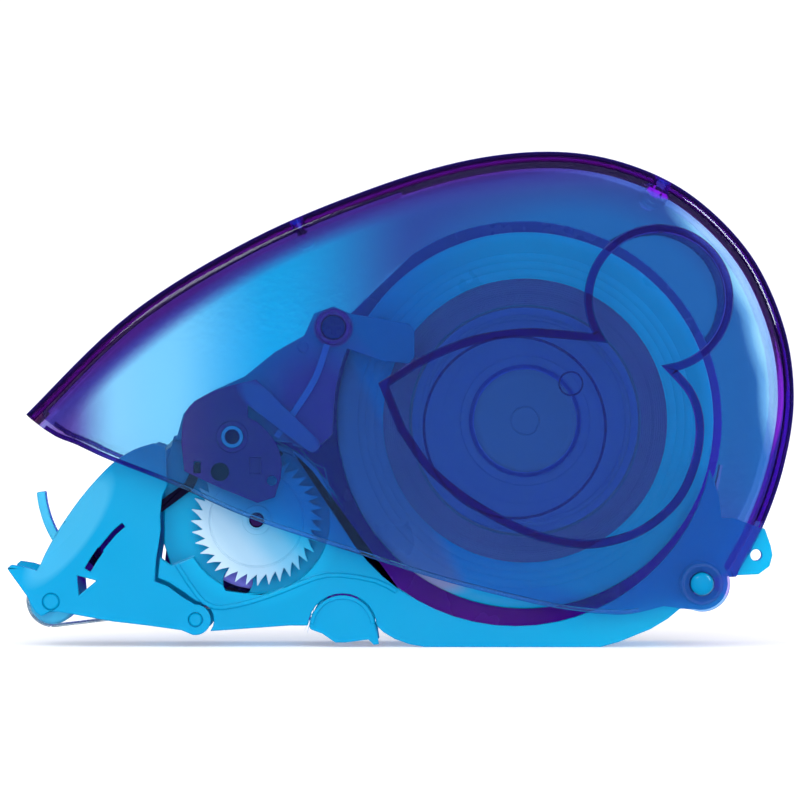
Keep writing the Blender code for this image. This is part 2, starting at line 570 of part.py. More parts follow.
def index_lever(deep, dark):
    finger_start, finger_end = (-25.6, 45.0), (-15.0, 34.7)
    outline = ([(-36.9, 30.2), (-30.4, 27.2), (-24.4, 24.8), (-21.4, 25.8)]
               + spline([(-20.4, 29.0), (-20.3, 32.2), (-21.5, 35.5), (-24.0, 38.3), (-26.0, 39.4)], 4)
               + [(-26.0, 41.5)] + arc(finger_end, 1.3, -136, 44, 8)
               + spline([(-24.6, 45.9), (-28.8, 44.9), (-32.3, 43.7), (-35.4, 41.9), (-37.0, 39.4),
                         (-37.4, 35.0)], 3))
    lever = plate("index_lever", outline, -LEVER_OUT, -LEVER_IN, deep)
    hub = ring("lever_hub", LEVER_PIVOT, 1.6, 2.7, -LEVER_OUT - 0.1, -SIDE_OUT - GAP, segments=28)
    slot = [(-35.3, 29.9), (-34.1, 29.9), (-34.1, 31.9), (-35.3, 31.9)]
    recess = [(-25.8, 29.8), (-23.8, 29.8), (-23.8, 32.6), (-25.8, 32.6)]
    fuse(lever, hub)
    cut(lever, cylinder("lever_bore", LEVER_PIVOT, 1.92, -14.0, -10.0, segments=24),
        cylinder("pawl_pin_bore", PAWL_PIVOT, 1.55, -14.0, -10.0, segments=28),
        cylinder("lever_dot", (-21.9, 28.6), 0.86, -14.0, -10.0, segments=16),
        plate("lever_slot", slot, -14.0, -10.0), plate("lever_recess", recess, -14.0, -LEVER_IN - 0.4))
    arm_path = [(-34.7, 30.9), (-36.2, 27.7), (-45.4, 20.9)]
    arm = plate("brake_arm", stroke(arm_path, 1.7), -ARM_OUT, -ARM_IN, dark)
    tongue = [(-35.15, 30.1), (-34.25, 30.1), (-34.25, 31.7), (-35.15, 31.7)]
    fuse(arm, plate("arm_tongue", tongue, -LEVER_OUT + 0.1, -ARM_IN - 0.1))
    return [lever, arm]


def drive_pawl(dark):
    """A pulling pawl in front of the wheel: its nub stands just clear of the teeth at the upper right."""
    blade = stroke(spline([PAWL_PIVOT, (-26.0, 31.3), (-20.6, 33.1)], 3), 1.6)
    pawl = plate("drive_pawl", blade, -PAWL_OUT, -PAWL_IN, dark)
    stud = [(0, -LEVER_OUT), (1.45, -LEVER_OUT), (1.45, -LEVER_IN + 0.1), (2.2, -LEVER_IN + 0.1),
            (2.2, -PAWL_IN - 0.1), (0, -PAWL_IN - 0.1)]
    fuse(pawl, turned("pawl_stud", PAWL_PIVOT, stud, segments=28),
         cylinder("pawl_nub", (-20.55, 33.2), 0.4, -PAWL_IN - 0.2, -WHEEL_IN - 0.1, segments=12))
    return pawl


# ---------------------------------------------------------------- nose

def cheek_outline():
    fin = [(-67.4, 13.5), (-66.7, 14.15), (-64.4, 13.8), (-62.3, 13.1)]
    slope = spline([(-61.6, 14.4), (-60.5, 16.8), (-58.2, 20.8), (-54.8, 25.6), (-51.7, 29.2),
                    (-49.0, 31.8), (-45.6, 33.9), (-42.3, 35.0)], 3)
    rear = [(-40.2, 34.4), (-39.9, 27.8), (-40.8, 25.9), (-41.15, 22.5), (-41.05, 20.1), (-41.4, 17.7),
            (-41.8, 15.3), (-42.1, 11.3), (-39.9, 10.5), (-37.3, 8.6)]
    ear = arc(HEAD_HINGE, HEAD_EAR_R, 92, -100, 18)
    sole = [(-37.5, 2.9), (-43.3, 3.7), (-49.3, 4.4), (-56.0, 5.6), (-58.7, 6.1), (-60.0, 6.0),
            (-61.5, 5.3), (-62.5, 6.0), (-63.3, 7.3), (-63.9, 8.6)]
    return fin + slope + rear + ear + sole


def arrow_slot():
    """A narrow curved groove that widens once and ends in a small triangle."""
    upper = spline([(-47.4, 21.0), (-48.8, 19.8), (-50.2, 18.2), (-51.4, 16.7)], 4)
    lower = spline([(-51.3, 16.8), (-52.6, 14.9), (-53.6, 13.2)], 4)
    return stroke(upper, 0.85), stroke(lower, 1.2), [(-55.4, 12.3), (-52.1, 11.4), (-55.1, 8.9)]


def head_parts(light, deep, pale):
    near = plate("head_near_cheek", cheek_outline(), -SIDE_OUT, -SIDE_IN, light)
    scallop_centre, scallop_r, ball_r = (-71.1, 31.6), 19.1, 90.0
    depth_at_face = math.sqrt(ball_r ** 2 - scallop_r ** 2)
    bowl = [(0, -SIDE_OUT - 4.0), (scallop_r + 0.4, -SIDE_OUT - 4.0)]
    bowl += [(r, -SIDE_OUT + math.sqrt(ball_r ** 2 - r * r) - depth_at_face)
             for r in (scallop_r + 0.4, scallop_r, 17.0, 15.0, 13.0)]
    bowl += [(0, -SIDE_OUT + math.sqrt(ball_r ** 2 - 13.0 ** 2) - depth_at_face)]
    cut(near, turned("slope_scallop", scallop_centre, bowl, segments=60))
    far = plate("head_far_cheek", cheek_outline(), SIDE_IN, SIDE_OUT, deep)
    front_path = spline([(-59.2, 18.1), (-57.0, 21.4), (-53.8, 25.6), (-50.7, 29.0), (-48.2, 31.2)], 3)
    front = plate("head_front_wall", stroke(front_path, 1.0), -SIDE_IN + GAP, SIDE_IN + 0.2)
    finger_path = spline([(-59.5, 17.6), (-60.4, 19.0), (-61.5, 21.4), (-62.3, 24.2), (-62.6, 26.4)], 3)
    sole = plate("head_sole", stroke([(-38.6, 3.8), (-41.0, 4.1), (-43.4, 4.35)], 0.8),
                 -SIDE_IN + GAP, SIDE_IN + 0.2)
    fuse(far, front, sole)
    cut(far, plate("finger_slot", stroke(finger_path, 2.2), 2.0, 6.8))
    slot_parts = arrow_slot()
    for cheek, y0, y1, slots in ((near, -13.0, -8.0, slot_parts), (far, 8.0, 13.0, slot_parts[-1:])):
        tag = cheek.name
        cut(cheek, cylinder(tag + "_ear_bore", HEAD_HINGE, HEAD_BORE_R, y0, y1, segments=28),
            cylinder(tag + "_axle_bore", ROLLER, ROLLER_AXLE_R + 0.02, y0, y1, segments=28))
        for i, groove in enumerate(slots):
            cut(cheek, plate(f"{tag}_arrow{i}", groove, y0, y1))
    axle = turned("roller_axle", ROLLER, pin_profile(ROLLER_AXLE_R - 0.02, SIDE_OUT), light, 28)
    nose_post = turned("nose_guide_post", NOSE_POST, pin_profile(POST_R, SIDE_IN - GAP), deep, 20)
    finger = plate("tape_finger", stroke(finger_path, 1.5), 2.4, 6.4, pale)
    return [near, far, axle, nose_post, finger]


def applicator_roller(mat):
    profile = [(ROLLER_BORE_R, -6.4), (3.6, -6.4), (ROLLER_R, -5.9), (ROLLER_R, 5.9), (3.6, 6.4),
               (ROLLER_BORE_R, 6.4)]
    return turned("applicator_roller", ROLLER, profile, mat, 32)


def latch_parts(light, deep):
    body = (arc(LATCH, LATCH_R, 0, 180, 16)
            + [(-15.2, 3.0), (-13.3, 2.3), (-11.1, 0.8), (-9.3, 0.8), (-5.4, 1.3), (-4.5, 0.4),
               (-3.6, 0.5), (-3.9, 2.6)])
    parts = []
    for name, side, mat in (("near", -1, light), ("far", 1, deep)):
        parts.append(plate(f"release_latch_{name}", body, side * SIDE_OUT, side * SIDE_IN, mat))
    lip = plate("latch_lip", arc(LATCH, LATCH_R, 8, 172, 14) + arc(LATCH, LATCH_R - 0.6, 172, 8, 14),
                -SIDE_OUT - 0.3, -SIDE_OUT + 0.2)
    fuse(parts[0], lip)
    parts.append(turned("latch_shaft", LATCH, pin_profile(1.6, SIDE_IN - GAP / 2), light, 24))
    return parts


def main():
    clear_scene()
    light = material("light_frame", FRAME_BLUE)
    deep = material("deep_frame", DEEP_BLUE)
    cover = material("cover_blue", COVER_BLUE, 0.15)
    pale = material("pale_clear", PALE_BLUE, 0.3)
    dark = material("black_plastic", BLACK, 0.3)
    steel = material("spring_steel", STEEL, 0.3, 1.0)
    tape = material("tape", TAPE_VIOLET, 0.4)
    liner = material("liner", LINER_BLUE, 0.5)

    frame_parts(light, deep, dark, steel, pale)
    tape_run(liner)
    liner_run(liner)
    hang_on("cover_axis", COVER_HINGE, [cover_half("cover_near_shell", -1, cover),
                                        cover_half("cover_far_shell", 1, cover)])
    hang_on("supply_axis", SPOOL, supply_spool(pale, deep, tape))
    hang_on("index_axis", WHEEL, [index_wheel(pale), *take_up(pale, deep, liner)])
    hang_on("lever_axis", LEVER_PIVOT, index_lever(deep, dark))
    hang_on("pawl_axis", PAWL_PIVOT, [drive_pawl(dark)])
    hang_on("head_axis", HEAD_HINGE, head_parts(light, deep, pale))
    hang_on("roller_axis", ROLLER, [applicator_roller(pale)])
    hang_on("latch_axis", LATCH, latch_parts(light, deep))


main()
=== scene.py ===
"""Looks of the hand-held tape roller: see-through moulded plastic round two reels, on a pale floor.

Lengths in the geometry helpers are millimetres. Outlines are (x, z) pairs that run along Y, and
turned profiles are (radius, y) pairs.
"""
import json
import math

import bmesh
import bpy
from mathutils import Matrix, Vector


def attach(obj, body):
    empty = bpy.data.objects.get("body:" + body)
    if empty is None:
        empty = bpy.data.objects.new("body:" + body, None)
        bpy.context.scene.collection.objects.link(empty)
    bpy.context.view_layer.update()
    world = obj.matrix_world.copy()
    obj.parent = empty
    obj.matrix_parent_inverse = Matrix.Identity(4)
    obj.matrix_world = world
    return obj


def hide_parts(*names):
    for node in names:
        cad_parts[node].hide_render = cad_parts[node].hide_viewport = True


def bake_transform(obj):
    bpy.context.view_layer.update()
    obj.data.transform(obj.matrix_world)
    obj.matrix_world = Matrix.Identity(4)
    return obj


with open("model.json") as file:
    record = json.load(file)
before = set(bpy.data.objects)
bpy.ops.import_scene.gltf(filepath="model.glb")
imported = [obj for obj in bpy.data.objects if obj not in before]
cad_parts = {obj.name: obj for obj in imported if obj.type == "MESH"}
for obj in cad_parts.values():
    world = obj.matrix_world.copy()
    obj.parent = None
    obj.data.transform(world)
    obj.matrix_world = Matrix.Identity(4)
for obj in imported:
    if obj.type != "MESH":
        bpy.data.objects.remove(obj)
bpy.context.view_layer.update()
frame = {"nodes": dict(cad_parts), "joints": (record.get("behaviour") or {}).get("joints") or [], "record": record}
nodes = frame["nodes"]
scene = bpy.context.scene
# Every CAD node gets a new material below.
for imported in list(bpy.data.materials):
    bpy.data.materials.remove(imported)

MM = 0.001


def joint_place(name):
    """(x, z) of a hinge in millimetres."""
    joint = next(j for j in frame["joints"] if j["name"] == name)
    return joint["pos_m"][0] / MM, joint["pos_m"][2] / MM


COVER_HINGE = joint_place("cover_hinge")
SPOOL = joint_place("supply_spin")
WHEEL = joint_place("index_spin")
ROLLER = joint_place("roller_spin")
FRAME_SCREW = (-11.4, 54.8)


# ---------------------------------------------------------------- profile geometry

def arc(centre, radius, start, end, steps):
    """Points on a circle from one angle to another, in degrees, both ends included."""
    angles = [math.radians(start + (end - start) * i / steps) for i in range(steps + 1)]
    return [(centre[0] + radius * math.cos(a), centre[1] + radius * math.sin(a)) for a in angles]


def spline(points, steps):
    """A smooth open curve through the points (Catmull-Rom)."""
    first = tuple(2 * a - b for a, b in zip(points[0], points[1]))
    last = tuple(2 * a - b for a, b in zip(points[-1], points[-2]))
    extended = [first, *points, last]
    curve = []
    for i in range(1, len(extended) - 2):
        for k in range(steps):
            t = k / steps
            curve.append(tuple(
                0.5 * (2 * b + (c - a) * t + (2 * a - 5 * b + 4 * c - d) * t * t
                       + (3 * b - a - 3 * c + d) * t ** 3)
                for a, b, c, d in zip(*extended[i - 1:i + 3])))
    curve.append(points[-1])
    return curve


def offset(points, distance, closed=False):
    """Each point moved to the left of the direction of travel, with mitred corners."""
    count = len(points)
    moved = []
    for i, point in enumerate(points):
        before = points[(i - 1) % count] if closed or i > 0 else None
        after = points[(i + 1) % count] if closed or i < count - 1 else None
        normals = []
        for start, end in ((before, point), (point, after)):
            if start is not None and end is not None:
                step = Vector((end[0] - start[0], end[1] - start[1])).normalized()
                normals.append(Vector((-step.y, step.x)))
        normal = sum(normals, Vector((0.0, 0.0))).normalized()
        stretch = min(1.0 / max(normal.dot(normals[0]), 0.3), 2.2)
        moved.append((point[0] + normal.x * distance * stretch,
                      point[1] + normal.y * distance * stretch))
    return moved


# ---------------------------------------------------------------- solids

def mesh_object(name, verts, faces):
    """An object from points in millimetres, with outward normals and edges over 30 degrees sharp."""
    mesh = bpy.data.meshes.new(name)
    mesh.from_pydata([tuple(c * MM for c in v) for v in verts], [], faces)
    bm = bmesh.new()
    bm.from_mesh(mesh)
    bmesh.ops.recalc_face_normals(bm, faces=bm.faces)
    if bm.calc_volume(signed=True) < 0:
        bmesh.ops.reverse_faces(bm, faces=bm.faces)
    bm.to_mesh(mesh)
    bm.free()
    mesh.shade_smooth()
    mesh.set_sharp_from_angle(angle=math.radians(30))
    obj = bpy.data.objects.new(name, mesh)
    scene.collection.objects.link(obj)
    return obj


def loft(name, levels):
    """A solid through matching outlines: levels is a list of (y, [(x, z), ...])."""
    count = len(levels[0][1])
    verts = [(x, y, z) for y, outline in levels for x, z in outline]
    faces = [tuple(range(count)), tuple(range(len(verts) - count, len(verts)))[::-1]]
    for k in range(len(levels) - 1):
        for i in range(count):
            j = (i + 1) % count
            faces.append((k * count + i, (k + 1) * count + i, (k + 1) * count + j, k * count + j))
    return mesh_object(name, verts, faces)


def plate(name, outline, y0, y1):
    """A flat piece with the same outline from y0 to y1."""
    return loft(name, [(y0, outline), (y1, outline)])


def turned(name, centre, profile, segments=96):
    """A solid of revolution about a Y axis. profile is a list of (radius, y)."""
    verts, rings = [], []
    for radius, y in profile:
        if radius == 0:
            rings.append([len(verts)] * segments)
            verts.append((centre[0], y, centre[1]))
        else:
            rings.append(list(range(len(verts), len(verts) + segments)))
            verts += [(x, y, z) for x, z in arc(centre, radius, 0, 360, segments)[:-1]]
    closed = profile[0][0] != 0
    faces = []
    for k in range(len(rings) if closed else len(rings) - 1):
        near, far = rings[k], rings[(k + 1) % len(rings)]
        for i in range(segments):
            j = (i + 1) % segments
            corners = dict.fromkeys((near[i], far[i], far[j], near[j]))
            if len(corners) > 2:
                faces.append(tuple(corners))
    return mesh_object(name, verts, faces)


def mirrored(profile):
    """The same (radius, y) profile on the other side of the middle, in the opposite order."""
    return [(radius, -y) for radius, y in reversed(profile)]


def cylinder(name, centre, radius, y0, y1, segments=48):
    """A solid round bar along Y."""
    return turned(name, centre, [(0, y0), (radius, y0), (radius, y1), (0, y1)], segments)


def ring(name, centre, inner, outer, y0, y1, segments=96):
    """A round band along Y between two radii."""
    return turned(name, centre, [(inner, y0), (outer, y0), (outer, y1), (inner, y1)], segments)


def tube(name, path, radius, sides):
    """A round wire along a 3-D path, with flat ends."""
    points = [Vector(p) for p in path]
    tangents = [(points[min(i + 1, len(points) - 1)] - points[max(i - 1, 0)]).normalized()
                for i in range(len(points))]
    side = tangents[0].orthogonal().normalized()
    verts = []
    for point, tangent in zip(points, tangents):
        side = (side - tangent * side.dot(tangent)).normalized()
        up = tangent.cross(side)
        for k in range(sides):
            a = 2 * math.pi * k / sides
            verts.append(tuple(point + (side * math.cos(a) + up * math.sin(a)) * radius))
    faces = [tuple(range(sides)), tuple(range(len(verts) - sides, len(verts)))[::-1]]
    for i in range(len(points) - 1):
        for k in range(sides):
            j = (k + 1) % sides
            faces.append((i * sides + k, (i + 1) * sides + k, (i + 1) * sides + j, i * sides + j))
    return mesh_object(name, verts, faces)


def combine(target, operation, *tools):
    """Applies a Boolean of the target with each tool in turn, and removes the tools."""
    for tool in tools:
        modifier = target.modifiers.new(tool.name, "BOOLEAN")
        modifier.operation = operation
        modifier.solver = "EXACT"
        modifier.object = tool
    bake(target)
    for tool in tools:
        bpy.data.objects.remove(tool)


def bake(obj):
    """Replaces an object's mesh by the result of its modifiers."""
    evaluated = obj.evaluated_get(bpy.context.evaluated_depsgraph_get())
    mesh = bpy.data.meshes.new_from_object(evaluated)
    obj.modifiers.clear()
    obj.data = mesh


def add_loose(target, piece, material_index):
    """Moves a closed piece's faces into the target's mesh, with one of the target's materials."""
    bm = bmesh.new()
    bm.from_mesh(target.data)
    count = len(bm.faces)
    bm.from_mesh(piece.data)
    bm.faces.ensure_lookup_table()
    for face in bm.faces[count:]:
        face.material_index = material_index
    bm.to_mesh(target.data)
    bm.free()
    bpy.data.objects.remove(piece)


def round_edges(obj, width, angle):
    """Rounds the edges that turn by more than an angle in degrees."""
    bevel = obj.modifiers.new("edges", "BEVEL")
    bevel.width = width * MM
    bevel.segments = 2
    bevel.limit_method = "ANGLE"
    bevel.angle_limit = math.radians(angle)
    bevel.use_clamp_overlap = False


def soften(obj, width):
    """Rounds a CAD solid's edges, after joining its split corners and its flat triangles."""
    weld = obj.modifiers.new("weld", "WELD")
    weld.merge_threshold = 0.002 * MM
    flat = obj.modifiers.new("flat", "DECIMATE")
    flat.decimate_type = "DISSOLVE"
    flat.angle_limit = math.radians(1.0)
    round_edges(obj, width, 35)


def stand_for(obj, body, slot, mat, *replaced):
    """Finishes a new piece: its material, its body and the CAD nodes that it stands for.

    mat is None for a piece that has its materials already.
    """
    if mat:
        obj.data.materials.clear()
        obj.data.materials.append(mat)
    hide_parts(*replaced)
    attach(obj, body)


# ---------------------------------------------------------------- materials

def material_base(name):
    """A new node material, its node tree and its shader."""
    mat = bpy.data.materials.new(name)
    mat.use_nodes = True
    return mat, mat.node_tree, mat.node_tree.nodes["Principled BSDF"]


def surface_detail(tree, shader, roughness, grain, grain_scale=900.0):
    """Fine moulding texture: a bump at the scale of the grain, and roughness that wanders a little.

    Returns the broad noise, which the base colour can follow too.
    """
    coord = tree.nodes.new("ShaderNodeTexCoord")
    fine = tree.nodes.new("ShaderNodeTexNoise")
    fine.inputs["Scale"].default_value = grain_scale
    fine.inputs["Detail"].default_value = 3.0
    broad = tree.nodes.new("ShaderNodeTexNoise")
    broad.inputs["Scale"].default_value = 70.0
    broad.inputs["Detail"].default_value = 4.0
    for noise in (fine, broad):
        tree.links.new(coord.outputs["Object"], noise.inputs["Vector"])
    spread = tree.nodes.new("ShaderNodeMapRange")
    spread.inputs["To Min"].default_value = roughness * 0.6
    spread.inputs["To Max"].default_value = roughness * 1.5
    tree.links.new(broad.outputs["Fac"], spread.inputs["Value"])
    tree.links.new(spread.outputs["Result"], shader.inputs["Roughness"])
    bump = tree.nodes.new("ShaderNodeBump")
    bump.inputs["Strength"].default_value = grain
    bump.inputs["Distance"].default_value = 0.2 * MM
    tree.links.new(fine.outputs["Fac"], bump.inputs["Height"])
    tree.links.new(bump.outputs["Normal"], shader.inputs["Normal"])
    return broad


def mottled(tree, shader, noise, colour, amount):
    """The base colour, a little lighter and darker in soft patches."""
    mix = tree.nodes.new("ShaderNodeMix")
    mix.data_type = "RGBA"
    mix.inputs[6].default_value = (*[c * (1 - amount) for c in colour], 1.0)
    mix.inputs[7].default_value = (*[min(1.0, c * (1 + amount)) for c in colour], 1.0)
    tree.links.new(noise.outputs["Fac"], mix.inputs[0])
    tree.links.new(mix.outputs[2], shader.inputs["Base Color"])


def absorbing(tree, passed, thickness):
    """A volume that passes the colour `passed` through `thickness` millimetres."""
    rates = [-math.log(c) / (thickness * MM) for c in passed]
    volume = tree.nodes.new("ShaderNodeVolumeAbsorption")
    volume.inputs["Density"].default_value = max(rates)
    volume.inputs["Color"].default_value = (*[1 - rate / max(rates) for rate in rates], 1.0)
    tree.links.new(volume.outputs["Volume"], tree.nodes["Material Output"].inputs["Volume"])


def plastic(name, colour, clear=0.0, passed=None, thickness=1.4, roughness=0.12, grain=0.08, amount=0.06,
            shine=0.35):
    """Moulded plastic. clear is the share that is see-through; the rest scatters the base colour.

    passed, when given, is the colour that gets through `thickness` millimetres of it.
    """
    mat, tree, shader = material_base(name)
    shader.inputs["IOR"].default_value = 1.49
    shader.inputs["Transmission Weight"].default_value = clear
    shader.inputs["Specular IOR Level"].default_value = shine
    mottled(tree, shader, surface_detail(tree, shader, roughness, grain), colour, amount)
    if passed is not None:
        absorbing(tree, passed, thickness)
    return mat


def along(mat, stops, slope=0.0):
    """Gives a material a base colour that changes along X + slope * Z.

    Stops are (place in millimetres, colour).
    """
    tree = mat.node_tree
    shader = tree.nodes["Principled BSDF"]
    coord = tree.nodes.new("ShaderNodeTexCoord")
    place = tree.nodes.new("ShaderNodeVectorMath")
    place.operation = "DOT_PRODUCT"
    place.inputs[1].default_value = (1.0, 0.0, slope)
    span = tree.nodes.new("ShaderNodeMapRange")
    ramp = tree.nodes.new("ShaderNodeValToRGB")
    low, high = stops[0][0], stops[-1][0]
    span.inputs["From Min"].default_value = low * MM
    span.inputs["From Max"].default_value = high * MM
    ramp.color_ramp.interpolation = "EASE"
    while len(ramp.color_ramp.elements) < len(stops):
        ramp.color_ramp.elements.new(0.5)
    for element, (place_mm, colour) in zip(ramp.color_ramp.elements, stops):
        element.position = (place_mm - low) / (high - low)
        element.color = (*colour, 1.0)
    tree.links.new(coord.outputs["Object"], place.inputs[0])
    tree.links.new(place.outputs["Value"], span.inputs["Value"])
    tree.links.new(span.outputs["Result"], ramp.inputs["Fac"])
    tree.links.new(ramp.outputs["Color"], shader.inputs["Base Color"])


def zone(mat, centre, radii, colour, turn=0.0, soft=0.15):
    """Changes a material's base colour inside an ellipse in the XZ plane.

    radii are the half lengths along and across a direction `turn` degrees above +X. soft is the
    share of the radius over which the colour fades. A negative soft changes the outside instead.
    """
    tree = mat.node_tree
    shader = tree.nodes["Principled BSDF"]
    plain = shader.inputs["Base Color"].links[0].from_socket
    place = tree.nodes.new("ShaderNodeNewGeometry")
    ellipse = tree.nodes.new("ShaderNodeMapping")
    flat = tree.nodes.new("ShaderNodeVectorMath")
    apart = tree.nodes.new("ShaderNodeVectorMath")
    edge = tree.nodes.new("ShaderNodeMapRange")
    mix = tree.nodes.new("ShaderNodeMix")
    ellipse.vector_type = "TEXTURE"
    ellipse.inputs["Location"].default_value = (centre[0] * MM, 0.0, centre[1] * MM)
    ellipse.inputs["Rotation"].default_value = (0.0, math.radians(-turn), 0.0)
    ellipse.inputs["Scale"].default_value = (radii[0] * MM, 1.0, radii[1] * MM)
    flat.operation = "MULTIPLY"
    flat.inputs[1].default_value = (1.0, 0.0, 1.0)
    apart.operation = "LENGTH"
    mix.data_type = "RGBA"
    edge.inputs["From Min"].default_value = 1.0 + soft / 2
    edge.inputs["From Max"].default_value = 1.0 - soft / 2
    mix.inputs[7].default_value = (*colour, 1.0)
    tree.links.new(place.outputs["Position"], ellipse.inputs["Vector"])
    tree.links.new(ellipse.outputs["Vector"], flat.inputs[0])
    tree.links.new(flat.outputs["Vector"], apart.inputs[0])
    tree.links.new(apart.outputs["Value"], edge.inputs["Value"])
    tree.links.new(edge.outputs["Result"], mix.inputs[0])
    tree.links.new(plain, mix.inputs[6])
    tree.links.new(mix.outputs[2], shader.inputs["Base Color"])


def inner_face(mat, outside):
    """Keeps a material's base colour on faces that look towards -Y, and gives the others `outside`."""
    tree = mat.node_tree
    shader = tree.nodes["Principled BSDF"]
    inside = shader.inputs["Base Color"].links[0].from_socket
    facing = tree.nodes.new("ShaderNodeNewGeometry")
    split = tree.nodes.new("ShaderNodeSeparateXYZ")
    edge = tree.nodes.new("ShaderNodeMapRange")
    mix = tree.nodes.new("ShaderNodeMix")
    mix.data_type = "RGBA"
    edge.inputs["From Min"].default_value = -0.4
    edge.inputs["From Max"].default_value = -0.8
    mix.inputs[6].default_value = (*outside, 1.0)
    tree.links.new(facing.outputs["Normal"], split.inputs["Vector"])
    tree.links.new(split.outputs["Y"], edge.inputs["Value"])
    tree.links.new(edge.outputs["Result"], mix.inputs[0])
    tree.links.new(inside, mix.inputs[7])
    tree.links.new(mix.outputs[2], shader.inputs["Base Color"])


def metal(name, colour, roughness):
    """Bare metal with a fine grain."""
    mat, tree, shader = material_base(name)
    shader.inputs["Metallic"].default_value = 1.0
    mottled(tree, shader, surface_detail(tree, shader, roughness, 0.15, 1500.0), colour, 0.1)
    return mat


FRAME_BLUE = (0.0, 0.37, 0.68)


def frame_plastic(name):
    """The frame's blue plastic, one material for each piece whose colour then changes in places."""
    return plastic(name, FRAME_BLUE, 0.3, (0.05, 0.8, 0.97), roughness=0.15)


# Grip cover. The walls go from pale at the front to deep blue and violet round the reel: painted light and shade,
# with a painted highlight towards the front and painted shade at the very tip and round the reel.
cover_near = plastic("cover_near", (0.12, 0.50, 0.82), 1.0, roughness=0.05, grain=0.03, amount=0.03)
along(cover_near, [(-61, (0.14, 0.05, 0.30)), (-56.5, (0.16, 0.10, 0.38)), (-48, (0.34, 0.61, 0.84)),
                   (-41, (0.32, 0.61, 0.84)), (-28, (0.18, 0.51, 0.81)), (0, (0.21, 0.47, 0.80)),
                   (60, (0.22, 0.46, 0.80))])
cover_far = plastic("cover_far", (0.12, 0.55, 0.76), 1.0, roughness=0.08, grain=0.03)
along(cover_far, [(-61, (0.40, 0.30, 0.60)), (-54, (0.60, 0.90, 0.97)), (-40, (0.50, 0.88, 0.97)),
                  (-22, (0.0, 0.63, 0.84)), (4, (0.09, 0.10, 0.34)), (28, (0.18, 0.02, 0.22)),
                  (52, (0.10, 0.07, 0.30)), (66, (0.02, 0.26, 0.52))])
# Painted light and shade on the far wall: darker over a broad patch round the reel, and lighter inside the reel's
# outline.
zone(cover_far, (30.0, 45.0), (32.5, 34.0), (0.03, 0.22, 0.45), soft=0.25)
zone(cover_far, SPOOL, (34.0, 34.0), (0.18, 0.50, 0.80), soft=0.04)

# Painted shade: both walls darken in two steps towards the long arc of the crown, where the moulding curves away.
# Painted highlight: both walls brighten in short overlapping strokes inside the rear of the crown.
CROWN_CENTRE, CROWN_R = (38.9, -52.3), 138.4
CROWN_PAINTED_SHADE_BANDS = ((CROWN_R - 5.4, (0.18, 0.17, 0.48), -0.02), (CROWN_R - 3.3, (0.20, 0.084, 0.37), -0.006))
PAINTED_HIGHLIGHT_COLOUR = (0.60, 0.88, 1.0)
PAINTED_HIGHLIGHT_STROKES = (((53.5, 70.3), (6.5, 1.3), -42), ((59.3, 61.9), (7.5, 1.6), -61),
                ((62.6, 52.3), (7.5, 1.5), -75), ((64.1, 42.0), (7.0, 1.1), -86))
for wall in (cover_near, cover_far):
    for radius, colour, soft in CROWN_PAINTED_SHADE_BANDS:
        zone(wall, CROWN_CENTRE, (radius, radius), colour, soft=soft)
    for centre, radii, turn in PAINTED_HIGHLIGHT_STROKES:
        zone(wall, centre, radii, PAINTED_HIGHLIGHT_COLOUR, turn, 1.2)

# The crown is seen along its 27 mm width, so it absorbs over that length.
cover_rim = plastic("cover_rim", (0.44, 0.45, 0.86), 1.0, (0.90, 0.035, 0.80), 27.0,
                    roughness=0.06, grain=0.03, shine=0.0)
cover_line = plastic("cover_line", (0.22, 0.13, 0.46), 1.0, roughness=0.08)
# Painted highlight: the bead along the lower edge and the ring round the ear are pale. Painted shade: they are
# darker towards the front tip.
bead_painted_light = plastic("bead_painted_light", (0.55, 0.85, 0.97), 1.0, roughness=0.08)
along(bead_painted_light, [(-62, (0.10, 0.02, 0.30)), (-44, (0.10, 0.05, 0.36)), (-34, (0.45, 0.78, 0.95)),
                   (50, (0.45, 0.78, 0.95))])

# Frame and head.
frame_light = frame_plastic("frame_light")
plate_blue = frame_plastic("plate_blue")
# Painted light: the side plate gets lighter towards the rear, where the cover above shades it.
along(plate_blue, [(10, (0.0, 0.365, 0.67)), (48, (0.0, 0.47, 0.78))])
# Painted shade: violet under the cover's front, round the lever.
zone(plate_blue, (-14.5, 41.0), (9.0, 11.0), (0.50, 0.055, 0.46), soft=0.9)
# Painted light: lighter in the dish round the index wheel, against the shade of the recess.
zone(plate_blue, WHEEL, (13.2, 13.2), (0.0, 0.46, 0.80), soft=0.3)
# Painted shade: deep violet round the frame screw, for the dark hollow it sits in.
zone(plate_blue, FRAME_SCREW, (3.3, 3.3), (0.70, 0.006, 0.42))
cheek_blue = frame_plastic("cheek_blue")
# Painted highlight: a lighter stripe along the head's nose.
zone(cheek_blue, (-56.8, 20.0), (11.2, 3.5), (0.05, 0.46, 0.75), 53, 0.25)
# Painted shade: the far cheek is violet round the slot in the head on its faces that look towards -Y, where it is
# seen deep inside; its other faces keep the frame's blue.
cheek_slot_shade = frame_plastic("cheek_slot_shade")
zone(cheek_slot_shade, (-50.0, 16.5), (9.5, 7.0), (0.10, 0.003, 0.35), 50, 0.3)
inner_face(cheek_slot_shade, FRAME_BLUE)
